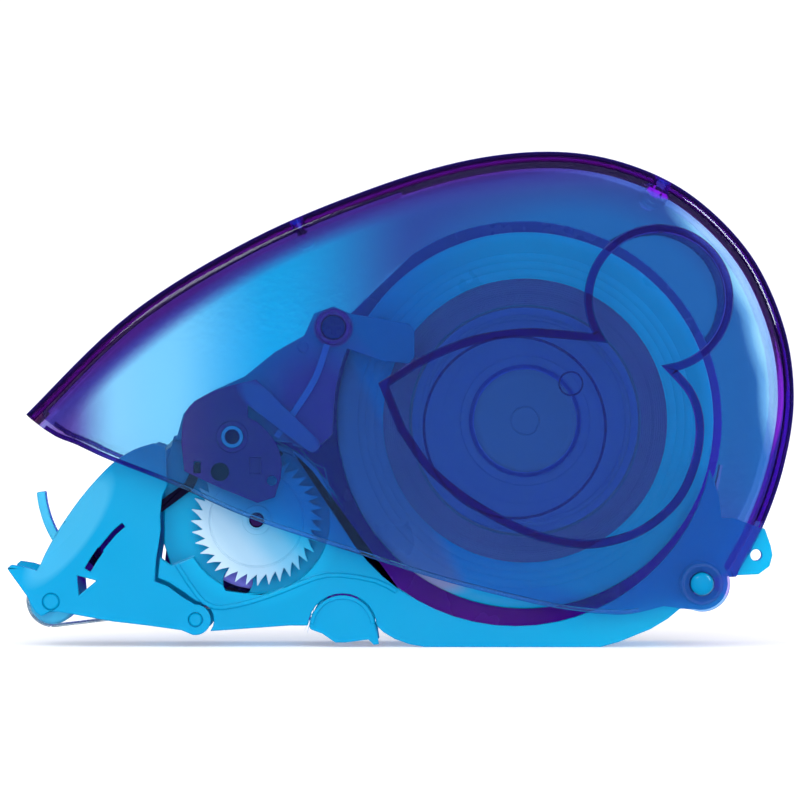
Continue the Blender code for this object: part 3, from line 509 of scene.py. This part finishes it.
# Painted shade: the far shell's faces that look towards -Y, into the object, are deep violet, darkest towards the
# front and bluer at the upper rear; its other faces keep the frame's blue.
frame_shade_inside = plastic("frame_shade_inside", (0.25, 0.005, 0.75), 0.12, (0.2, 0.1, 0.6), roughness=0.25)
along(frame_shade_inside, [(-32, (0.05, 0.003, 0.22)), (-8, (0.38, 0.004, 0.90)), (50, (0.38, 0.004, 0.90))])
zone(frame_shade_inside, (24.0, 66.0), (44.0, 32.0), (0.12, 0.16, 0.50), soft=0.6)
inner_face(frame_shade_inside, FRAME_BLUE)
pin_clear = plastic("pin_clear", (0.0, 0.30, 0.60), 0.3, (0.1, 0.8, 0.97), roughness=0.12)
black_plastic = plastic("black_plastic", (0.004, 0.003, 0.008), roughness=0.2)
screw_dark = metal("screw_dark", (0.06, 0.03, 0.22), 0.3)
spring_steel = metal("spring_steel", (0.55, 0.56, 0.60), 0.25)

# Lever train.
lever_blue = plastic("lever_blue", (0.45, 0.032, 0.33), 0.3, (0.4, 0.2, 0.65), roughness=0.15)
zone(lever_blue, (-20.5, 39.5), (9.0, 2.6), (0.32, 0.20, 0.62), -42, 0.3)
leaf_blue = plastic("leaf_blue", (0.30, 0.26, 0.75), 0.2, roughness=0.15)
# Painted highlight: the lever's pivot pin is pale all over, for the bright highlights on its ring.
pivot_highlight = plastic("pivot_highlight", (0.30, 0.62, 0.92), 0.2, roughness=0.1)
# Painted shade: the wheel's axle end is near black, for the dark hole it shows in.
axle_hole_shade = plastic("axle_hole_shade", (0.03, 0.004, 0.07), roughness=0.2)
wheel_frost = plastic("wheel_frost", (0.40, 0.62, 0.92), 0.1, (0.6, 0.85, 0.97), roughness=0.4)
# Painted light and shade: the index wheel is paler towards the lower front and a deeper blue towards the upper
# rear, under the cover.
along(wheel_frost, [(-20, (0.45, 0.64, 0.77)), (-14, (0.31, 0.52, 0.69)), (-7, (0.12, 0.43, 0.66)),
                    (-2, (0.0, 0.42, 0.70)), (4, (0.0, 0.36, 0.66))], 0.8)

# Reels, tape and liner.
deep_clear = plastic("deep_clear", (0.28, 0.27, 1.0), 0.05, (0.4, 0.45, 0.8), roughness=0.15)
hub_blue = plastic("hub_blue", (0.26, 0.26, 0.44), 0.05, (0.4, 0.40, 0.75), roughness=0.2)
reel_clear = plastic("reel_clear", (0.85, 0.78, 0.98), 0.85, (0.8, 0.85, 0.97), roughness=0.1)
reel_frost = plastic("reel_frost", (0.0, 0.78, 1.0), 0.1, (0.1, 0.7, 0.95), roughness=0.3)
# Painted light and shade: the frosted rim is darker violet on its front side and lighter towards the upper rear,
# and frame blue along its bottom.
along(reel_frost, [(8, (0.28, 0.29, 0.50)), (14.5, (0.28, 0.29, 0.50)), (18, (0.0, 0.40, 0.70)),
                   (58, (0.0, 0.90, 0.84)), (75, (0.0, 1.0, 0.94))], 0.5)
zone(reel_frost, (18.0, 4.0), (18.0, 6.5), FRAME_BLUE, soft=0.3)
roller_clear = plastic("roller_clear", (0.10, 0.68, 0.97), 0.6, (0.7, 0.9, 0.98), 4.0, roughness=0.15)
tape_pack = plastic("tape_pack", (0.92, 0.036, 0.44), roughness=0.4)
tape_film = plastic("tape_film", (0.70, 0.88, 0.98), 0.9, roughness=0.25)
liner_film = plastic("liner_film", (0.75, 0.92, 0.99), 0.9, roughness=0.25)
liner_pack = plastic("liner_pack", (0.05, 0.04, 0.28), roughness=0.4)

BY_SLOT = {
    "cover_tint": cover_near, "frame_tint": frame_light, "deep_tint": deep_clear,
    "reel_clear": reel_clear, "wheel_frost": wheel_frost, "roller_clear": roller_clear,
    "pin_clear": pin_clear, "black_plastic": black_plastic, "screw_dark": screw_dark,
    "spring_steel": spring_steel, "tape_pack": tape_pack, "tape_film": tape_film,
    "liner_film": liner_film,
}
BY_NODE = {
    "far_side_shell": frame_shade_inside, "head_far_cheek": cheek_slot_shade, "release_latch_far": frame_light,
    "near_side_plate": plate_blue, "head_near_cheek": cheek_blue, "lever_spring": leaf_blue,
    "cover_far_shell": cover_far, "index_lever": lever_blue, "brake_arm": black_plastic,
    "spool_hub": hub_blue, "tape_finger": roller_clear, "wheel_axle": axle_hole_shade,
    "lever_pivot_pin": pivot_highlight,
}
for entry in frame["record"]["subparts"]:
    obj = nodes[entry["node"]]
    obj.data.materials.clear()
    obj.data.materials.append(BY_NODE.get(entry["node"], BY_SLOT[entry["material_slot"]]))


# ---------------------------------------------------------------- grip cover

COVER_OUT, COVER_IN, COVER_FILLET, COVER_RIM, FILLET_STEPS = 14.2, 12.8, 3.0, 2.0, 8
EAR_R, EAR_PROUD, HINGE_BORE_R = 4.75, 0.02, 2.07
LOCATING_POSTS, POST_R, SOCKET_R = ((-16.5, 70.2), (43.8, 77.2)), 2.0, 1.1
PAD_CENTRE, MARK_CENTRE = (19.6, 37.7), (29.2, 45.2)
SUNK, LINE_SLOPE = 0.1, 0.1
WALL_SLOT, RIM_SLOT, LINE_SLOT, BEAD_SLOT = range(4)


def crown_line(inset):
    """The outline of the cover's crown, from beyond the front tip round to the hinge ear."""
    return offset(spline(
        [(-67.9, 35.6), (-63.4, 40.6), (-46.2, 57.2), (-25.6, 69.9), (-5.1, 78.6), (12.0, 83.6),
         (27.0, 84.95), (39.5, 82.7), (50.5, 77.1), (60.1, 67.3), (65.8, 55.0), (67.5, 43.0),
         (65.9, 31.5), (62.2, 20.7), (57.0, 11.0)], 8), -inset)


def cover_blob(inset):
    """The closed side outline of the cover before its lower edge is cut."""
    return crown_line(inset) + [(54.0 - inset, 2.0), (50.0, -8.0), (-66.0, -8.0)]


def cover_lower_edge(lift=0.0):
    """The cover's lower edge, from beyond the front tip to the hinge ear."""
    return [(x, z + lift) for x, z in spline(
        [(-72.0, 46.5), (-60.6, 37.3), (-55.1, 34.7), (-49.5, 32.1), (-38.2, 27.7), (-25.5, 22.1),
         (-8.5, 16.5), (4.0, 12.5), (13.8, 9.8), (26.3, 6.9), (34.4, 5.9), (39.5, 5.9), (45.0, 7.2)], 4)]


def below_cover():
    """Everything under the cover's lower edge and round its hinge ear, out past the object."""
    ear = arc(COVER_HINGE, EAR_R, -112, 14, 30)
    return cover_lower_edge() + ear + [(80.0, 12.2), (80.0, -20.0), (-80.0, -20.0)]


def relief_path():
    """A teardrop with a circle overlapping its upper right, as one closed path."""
    teardrop_top = spline([(-2.8, 45.0), (4.0, 49.2), (12.5, 52.6), (21.0, 53.9), (28.0, 53.6)], 8)
    circle = arc((44.2, 59.7), 12.0, 214, -81, 60)
    right = spline([(46.1, 47.9), (49.8, 43.4), (51.2, 38.0), (50.3, 31.4), (47.3, 25.2), (42.0, 20.6),
                    (36.4, 18.4), (30.6, 17.8), (22.4, 19.6), (12.6, 24.6), (5.2, 30.6), (0.3, 37.4)], 6)
    return teardrop_top[:-1] + circle + right[1:]


def raised_line(name, path, width, y_root, y_top, closed=True):
    """A moulded line with sloping sides that follows a path on the cover's face."""
    foot, crest = width / 2 + LINE_SLOPE, width / 2 - LINE_SLOPE
    section = ((y_root, foot), (y_top, crest), (y_top, -crest), (y_root, -foot))
    verts = [(x, y, z) for y, shift in section for x, z in offset(path, shift, closed)]
    count = len(path)
    faces = []
    for i in range(count if closed else count - 1):
        j = (i + 1) % count
        for k in range(4):
            m = (k + 1) % 4
            faces.append((k * count + i, k * count + j, m * count + j, m * count + i))
    if not closed:
        faces.append(tuple(k * count for k in range(4)))
        faces.append(tuple(k * count + count - 1 for k in range(3, -1, -1)))
    return mesh_object(name, verts, faces)


def cover_block(name, side):
    """One half of the cover as a solid: the crown's outline with a rounded outer edge."""
    levels = [(side * 0.02, cover_blob(0.0)), (side * (COVER_OUT - COVER_FILLET), cover_blob(0.0))]
    for k in range(1, FILLET_STEPS + 1):
        turn = math.radians(90 * k / FILLET_STEPS)
        levels.append((side * (COVER_OUT - COVER_FILLET * (1 - math.sin(turn))),
                       cover_blob(COVER_FILLET * (1 - math.cos(turn)))))
    return loft(name, levels)


def cover_relief(side):
    """The lines on a cover half: (solid, material slot) pairs, each sunk a little into the wall."""
    root, inner = side * (COVER_OUT - SUNK), side * (COVER_IN + SUNK)
    bead_path = cover_lower_edge(0.45)[4:-3]
    return [
        (ring("pad", PAD_CENTRE, 15.3, 15.75, inner, side * 11.9), LINE_SLOT),
        (ring("mark", MARK_CENTRE, 1.85, 2.15, inner, side * (COVER_IN - 0.25), 48), LINE_SLOT),
        (raised_line("relief", relief_path(), 1.3, root, side * (COVER_OUT + 0.4)), LINE_SLOT),
        (ring("ear_ring", COVER_HINGE, 3.0, 3.5, root, side * (COVER_OUT + 0.3), 64), BEAD_SLOT),
        (raised_line("bead", bead_path, 0.55, root, side * (COVER_OUT + 0.2), False), BEAD_SLOT),
    ]


def cover_half(name, node, side, wall_mat):
    """One moulded half of the grip cover: side -1 is the near half, +1 the far half.

    The cutting solids reach past the faces that they open.
    """
    shell = cover_block(name, side)
    combine(shell, "DIFFERENCE",
            plate("cavity", cover_blob(COVER_RIM), side * COVER_IN, -side * 2.0),
            cylinder("around_ear", COVER_HINGE, EAR_R + 0.5, side * (COVER_IN - 0.1), -side * 1.5, 64),
            plate("lower", below_cover(), side * 20.0, -side * 5.0))
    ear_out, ear_in = side * (COVER_OUT + EAR_PROUD), side * (COVER_IN - 0.03)
    added = [cylinder("ear", COVER_HINGE, EAR_R, ear_out, ear_in, 72)]
    added += [cylinder(f"post{i}", post, POST_R, side * (COVER_IN + 0.2), side * 0.3, 40)
              for i, post in enumerate(LOCATING_POSTS)]
    combine(shell, "UNION", *added)
    cuts = [cylinder("bore", COVER_HINGE, HINGE_BORE_R, side * 16.0, side * 11.5, 56)]
    if side < 0:
        cuts.append(plate("notch", [(50.0, 8.0), (70.0, 8.0), (70.0, 20.95), (50.0, 23.0)], -11.3, -7.0))
        cuts += [cylinder(f"socket{i}", post, SOCKET_R, -6.0, 1.0, 32)
                 for i, post in enumerate(LOCATING_POSTS)]
    combine(shell, "DIFFERENCE", *cuts)
    shell.data.shade_smooth()
    shell.data.set_sharp_from_angle(angle=math.radians(28))
    shell.data.materials.clear()
    for mat in (wall_mat, cover_rim, cover_line, bead_painted_light):
        shell.data.materials.append(mat)
    crown = crown_line(0.0)
    for face in shell.data.polygons:
        centre = (face.center.x / MM, face.center.z / MM)
        on_crown = min(math.dist(centre, point) for point in crown) < COVER_FILLET - 0.05
        face.material_index = RIM_SLOT if on_crown or face.normal.z < -0.6 else WALL_SLOT
    for line, slot in cover_relief(side):
        add_loose(shell, line, slot)
    stand_for(shell, "cover", "cover_tint", None, node)


cover_half("cover_near", "cover_near_shell", -1, cover_near)
cover_half("cover_far", "cover_far_shell", 1, cover_far)


# ---------------------------------------------------------------- reels

TAPE_HALF = 4.9
FLANGE_OUT, FLANGE_IN = 6.1, 5.3
REEL_BORE, REEL_R = 9.6, 32.4
PACK_INNER_R, PACK_R = 19.85, 24.4
DISC_R, LINER_INNER_R, LINER_R = 12.0, 4.7, 7.8
ROLLER_R = 4.1
FROST_FROM_R = 24.5


def grooved(radii, y, depth, side):
    """Profile points across a flat face with a shallow V groove at each radius."""
    points = []
    for r in radii:
        points += [(r - 0.18, y), (r, y - side * depth), (r + 0.18, y)]
    return points


def flange(name, node, side):
    """A reel flange: rolled rim, fine concentric grooves on the outside, a frosted outer zone."""
    out, inside = side * FLANGE_OUT, side * FLANGE_IN
    profile = [(REEL_BORE, inside), (REEL_BORE, out - side * 0.15), (REEL_BORE + 0.15, out)]
    profile += grooved([11.2, 14.2, 17.2, 18.4], out, 0.12, side)
    profile += [(19.2, out), (19.5, out + side * 0.12), (19.9, out + side * 0.12), (20.2, out)]
    profile += grooved([22.0, 24.6, 26.0, 27.4, 28.8], out, 0.10, side)
    profile += [(30.2, out), (30.6, out + side * 0.18), (REEL_R - 0.45, out + side * 0.18),
                (REEL_R - 0.12, out), (REEL_R, out - side * 0.25), (REEL_R, inside)]
    disc = turned(name, SPOOL, profile, 160)
    stand_for(disc, "supply", "reel_clear", reel_clear, node)
    disc.data.materials.append(reel_frost)
    for face in disc.data.polygons:
        centre = (face.center.x / MM, face.center.z / MM)
        face.material_index = int(math.dist(centre, SPOOL) > FROST_FROM_R)


def take_up_disc(name, node, side, bore):
    """A disc at one end of the take-up reel, with three grooves on its outside."""
    out, inside = side * FLANGE_OUT, side * FLANGE_IN
    profile = [(bore, inside), (bore, out)] + grooved([5.0, 8.2, 9.6], out, 0.1, side)
    profile += [(DISC_R - 0.3, out), (DISC_R, out - side * 0.25), (DISC_R, inside)]
    stand_for(turned(name, WHEEL, profile), "index", "reel_clear", deep_clear, node)


def wound(name, centre, inner, outer, turns, segments):
    """A wound pack: each turn's edge stands a little proud or back on both faces."""
    step = (outer - inner) / (2 * turns)
    near = [(inner + step * i, -TAPE_HALF + (0.06 if i % 2 else 0.0)) for i in range(2 * turns + 1)]
    return turned(name, centre, near + mirrored(near), segments)


def reel_core():
    """The supply reel's core: two sleeves joined by a thin web, the outer one with a lip at each end."""
    sleeves = [(19.55, 4.9), (19.3, 5.15), (18.45, 5.15), (18.2, 5.0), (18.2, 1.1), (17.8, 0.7),
               (9.6, 0.7), (9.2, 1.1), (9.2, 4.8), (9.0, 5.0), (8.0, 5.0), (7.8, 4.8)]
    stand_for(turned("reel_core", SPOOL, sleeves + mirrored(sleeves), 128), "supply", "deep_tint",
              deep_clear, "spool_core")


def nose_roller():
    """The applicator roller: a plain drum with rounded ends and a bore."""
    end = [(1.55, -6.2), (1.7, -6.4), (3.4, -6.4), (3.75, -6.25), (4.0, -5.9), (ROLLER_R, -5.5)]
    drum = [(ROLLER_R, y) for y in range(-5, 6)]
    stand_for(turned("nose_roller", ROLLER, end + drum + mirrored(end)), "roller", "roller_clear",
              roller_clear, "applicator_roller")


def saw_wheel():
    """The index wheel: hooked teeth, a thin raised boss and a shallow step inside the teeth."""
    teeth, tip, root = 36, 11.3, 9.4
    tooth = ((root, 0.0), (tip - 0.12, 0.35), (tip, 0.9), (root + 0.85, 4.6), (root + 0.08, 9.4))
    outline = []
    for i in range(teeth):
        for radius, turn in tooth:
            angle = math.radians(i * 360 / teeth + turn)
            outline.append((WHEEL[0] + radius * math.cos(angle), WHEEL[1] + radius * math.sin(angle)))
    wheel = plate("saw_wheel", outline, -9.82, -8.95)
    combine(wheel, "UNION", ring("boss", WHEEL, 1.6, 2.5, -9.9, -9.6, 64))
    combine(wheel, "DIFFERENCE", cylinder("bore", WHEEL, 1.32, -12.0, -8.0),
            ring("step", WHEEL, 7.9, 8.2, -12.0, -9.7))
    wheel.data.shade_smooth()
    wheel.data.set_sharp_from_angle(angle=math.radians(30))
    round_edges(wheel, 0.06, 50)
    stand_for(wheel, "index", "wheel_frost", wheel_frost, "index_wheel")


for label, side in (("near", -1), ("far", 1)):
    flange(f"reel_flange_{label}", f"spool_{label}_flange", side)
stand_for(wound("tape_pack_wound", SPOOL, PACK_INNER_R, PACK_R, 14, 144),
          "supply", "tape_pack", tape_pack, "tape_roll")
reel_core()
for label, side, bore in (("near", -1, 2.7), ("far", 1, 1.5)):
    take_up_disc(f"take_up_disc_{label}", f"take_up_{label}_flange", side, bore)
stand_for(wound("liner_wound", WHEEL, LINER_INNER_R, LINER_R, 10, 96),
          "index", "liner_film", liner_pack, "wound_liner")
saw_wheel()
nose_roller()


# ---------------------------------------------------------------- pins, hub and springs

def hinge_pin():
    """The rear hinge pin, with a shallow dome at each end."""
    dome = [(0, -15.1), (0.5, -15.08), (1.0, -14.98), (1.4, -14.8), (1.7, -14.6), (1.9, -14.3), (2.0, -13.9)]
    stand_for(turned("hinge_pin_domed", COVER_HINGE, dome + mirrored(dome), 64),
              "frame", "pin_clear", pin_clear, "rear_hinge_pin")


def reel_cap():
    """The cap over the reel's hub: a rounded disc with a ring groove, and a skirt that fits the hub."""
    cap = [(0, -7.4), (2.2, -7.4), (2.4, -7.25), (2.6, -7.4), (7.6, -7.4), (8.4, -7.3), (8.8, -7.0),
           (8.8, -6.65), (5.6, -6.6), (5.6, -3.1), (5.4, -3.0), (5.0, -3.0), (4.8, -3.1), (4.8, -6.4),
           (0, -6.4)]
    stand_for(turned("reel_cap", SPOOL, cap), "frame", "deep_tint", hub_blue, "spool_hub_cap")


def coil_spring():
    """The torsion spring round the rear hinge pin: a leg on the floor, coils, a leg up to the crown."""
    x, z = COVER_HINGE
    coil_r, wire_r, pitch, per_turn, first_y = 3.2, 0.35, 1.15, 36, -3.2
    start, sweep = 196, 4 * 360 + 244
    path = [(x - 15.0, -3.4, z - 6.6), (x - 8.0, -3.4, z - 4.4)]
    count = int(per_turn * sweep / 360)
    for i in range(count + 1):
        turned_by = sweep * i / count
        a = math.radians(start + turned_by)
        path.append((x + coil_r * math.cos(a), first_y + pitch * turned_by / 360, z + coil_r * math.sin(a)))
    last = path[-1]
    path += [(last[0] + 1.0, last[1] + 0.3, last[2] + 6.0), (last[0] + 3.4, last[1] + 0.4, last[2] + 17.0)]
    stand_for(tube("return_spring_wire", path, wire_r, 12), "frame", "spring_steel", spring_steel,
              "return_spring")


hinge_pin()
reel_cap()
coil_spring()


# ---------------------------------------------------------------- tape and liner

GUIDE_POST, NOSE_POST, BAR_END = (-37.6, 34.4), (-54.2, 19.6), (-26.0, 8.4)
POST_OUT_R, BAR_R, STRIP_GAP, STRIP = 1.3, 0.65, 0.3, 0.25
BEND_STEP, RUN_STEP = 0.6, 1.5


def straight_run(start, end):
    """Points between two places about RUN_STEP apart, without the places themselves."""
    pieces = max(1, round(math.dist(start, end) / RUN_STEP))
    return [(start[0] + (end[0] - start[0]) * i / pieces, start[1] + (end[1] - start[1]) * i / pieces)
            for i in range(1, pieces)]


def belt(stops, start, end):
    """The path of a strip that passes each (centre, radius) in turn on the right-hand side.

    start and end are the angles on the first and last circle where the path begins and ends.
    """
    turns = [math.radians(start)]
    for (here, r_here), (there, r_there) in zip(stops, stops[1:]):
        run = Vector(there) - Vector(here)
        turns.append(math.atan2(run.y, run.x) - math.acos((r_here - r_there) / run.length))
    turns.append(math.radians(end))
    path = []
    for (centre, radius), a, b in zip(stops, turns, turns[1:]):
        sweep = (b - a) % (2 * math.pi)
        steps = max(2, round(sweep * radius / BEND_STEP))
        bend = arc(centre, radius, math.degrees(a), math.degrees(a + sweep), steps)
        if path:
            path += straight_run(path[-1], bend[0])
        path += bend
    return path


def strip(name, node, mat, stops, start, end):
    """A tape that runs from the frame to the head round the given stops, in place of a CAD node."""
    path = belt([(centre, radius + STRIP / 2 + STRIP_GAP) for centre, radius in stops], start, end)
    outline = offset(path, STRIP / 2) + offset(path, -STRIP / 2)[::-1]
    band = plate(name, outline, -TAPE_HALF, TAPE_HALF)
    band.data.materials.append(mat)
    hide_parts(node)
    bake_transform(band)


strip("tape_strip", "tape_run", tape_film,
      [(SPOOL, PACK_R), (GUIDE_POST, POST_OUT_R), (NOSE_POST, POST_OUT_R), (ROLLER, ROLLER_R)], 110, 262)
strip("liner_strip", "liner_run", liner_film,
      [(ROLLER, ROLLER_R), (BAR_END, BAR_R), (WHEEL, LINER_R)], 266, 330)


# ---------------------------------------------------------------- moulded parts kept from the CAD

EDGE_WIDTHS = {
    "near_side_plate": 0.18, "far_side_shell": 0.15, "head_near_cheek": 0.18, "head_far_cheek": 0.15,
    "release_latch_near": 0.08, "release_latch_far": 0.15, "index_lever": 0.12, "brake_arm": 0.12,
    "drive_pawl": 0.08, "tape_finger": 0.2, "lever_spring": 0.08, "liner_guide_bar": 0.1,
    "frame_screw": 0.06,
}
for node, width in EDGE_WIDTHS.items():
    soften(nodes[node], width)


# ---------------------------------------------------------------- studio

SURROUND, FILL_BEHIND, FILL_FRONT = 1.12, 0.8, 2.6
REFLECTED, LAMP_COLOUR = (0.07, 0.05, 0.60), (0.80, 0.93, 1.0)
AIM, NEAR_WALL_Y = (0.0, 0.0, 0.05), -0.0106
LIGHT_BOUNCES = 24


def white_floor(half=3.0):
    """A matt white floor that faintly lights itself. Reflections in the plastic leave it out."""
    mesh = bpy.data.meshes.new("floor")
    corners = [(-half, -half, 0), (half, -half, 0), (half, half, 0), (-half, half, 0)]
    mesh.from_pydata(corners, [], [(0, 1, 2, 3)])
    floor = bpy.data.objects.new("floor", mesh)
    scene.collection.objects.link(floor)
    floor.visible_glossy = False
    mat, _, shader = material_base("floor_white")
    shader.inputs["Base Color"].default_value = (0.93, 0.93, 0.93, 1.0)
    shader.inputs["Roughness"].default_value = 0.7
    shader.inputs["Specular IOR Level"].default_value = 0.2
    shader.inputs["Emission Color"].default_value = (1.0, 1.0, 1.0, 1.0)
    shader.inputs["Emission Strength"].default_value = 0.3
    mesh.materials.append(mat)


def studio_world():
    """White all round for the eye and for light that passes through plastic, and dim blue in reflections.

    Light that falls on opaque surfaces is stronger from the front, as from a large soft lamp there.
    """
    world = bpy.data.worlds.new("studio")
    world.use_nodes = True
    tree = world.node_tree
    path = tree.nodes.new("ShaderNodeLightPath")
    fill = tree.nodes.new("ShaderNodeMix")
    fill.data_type = "RGBA"
    fill.inputs[6].default_value = (SURROUND, SURROUND, SURROUND, 1.0)
    fallen = tree.nodes.new("ShaderNodeMath")
    fallen.operation = "MINIMUM"
    fallen.inputs[1].default_value = 1.0
    tree.links.new(path.outputs["Diffuse Depth"], fallen.inputs[0])
    tree.links.new(fallen.outputs["Value"], fill.inputs[0])
    way = tree.nodes.new("ShaderNodeTexCoord")
    split = tree.nodes.new("ShaderNodeSeparateXYZ")
    front = tree.nodes.new("ShaderNodeMapRange")
    front.inputs["From Min"].default_value = 0.0
    front.inputs["From Max"].default_value = -1.0
    front.inputs["To Min"].default_value = FILL_BEHIND
    front.inputs["To Max"].default_value = FILL_FRONT
    tree.links.new(way.outputs["Generated"], split.inputs["Vector"])
    tree.links.new(split.outputs["Y"], front.inputs["Value"])
    tree.links.new(front.outputs["Result"], fill.inputs[7])
    tint = tree.nodes.new("ShaderNodeMix")
    tint.data_type = "RGBA"
    tint.inputs[7].default_value = (*REFLECTED, 1.0)
    reflected = tree.nodes.new("ShaderNodeMath")
    reflected.operation = "SUBTRACT"
    reflected.use_clamp = True
    tree.links.new(path.outputs["Is Glossy Ray"], reflected.inputs[0])
    tree.links.new(path.outputs["Is Transmission Ray"], reflected.inputs[1])
    tree.links.new(reflected.outputs["Value"], tint.inputs[0])
    tree.links.new(fill.outputs[2], tint.inputs[6])
    tree.links.new(tint.outputs[2], tree.nodes["Background"].inputs["Color"])
    world.cycles.sampling_method = "NONE"
    scene.world = world


def soft_box(name, place, width, height, power):
    """A lamp aimed at the object that shows only as a highlight on glossy surfaces."""
    lamp = bpy.data.lights.new(name, "AREA")
    lamp.shape = "RECTANGLE"
    lamp.size = width
    lamp.size_y = height
    lamp.energy = power
    lamp.color = LAMP_COLOUR
    obj = bpy.data.objects.new(name, lamp)
    scene.collection.objects.link(obj)
    obj.location = place
    obj.rotation_euler = (Vector(AIM) - Vector(place)).to_track_quat("-Z", "Y").to_euler()
    obj.visible_diffuse = obj.visible_transmission = False


def camera_at(distance, view_width, height):
    """A level camera that looks along +Y and sees view_width metres across at the frame's near wall."""
    camera = bpy.data.objects.new("camera", bpy.data.cameras.new("camera"))
    scene.collection.objects.link(camera)
    scene.camera = camera
    camera.data.sensor_width = 36.0
    camera.data.lens = camera.data.sensor_width * distance / view_width
    camera.data.clip_start = 0.01
    camera.location = (0.0, NEAR_WALL_Y - distance, height)
    camera.rotation_euler = (math.radians(90), 0, 0)


white_floor()
studio_world()
soft_box("key_light", (-0.35, -0.45, 0.55), width=0.30, height=0.16, power=0.7)
soft_box("rim_light", (0.45, -0.2, 0.35), width=0.10, height=0.35, power=1.6)
camera_at(distance=0.8, view_width=0.1372, height=0.0424)
scene.view_settings.view_transform = "Standard"
scene.cycles.max_bounces = LIGHT_BOUNCES
scene.cycles.transmission_bounces = LIGHT_BOUNCES
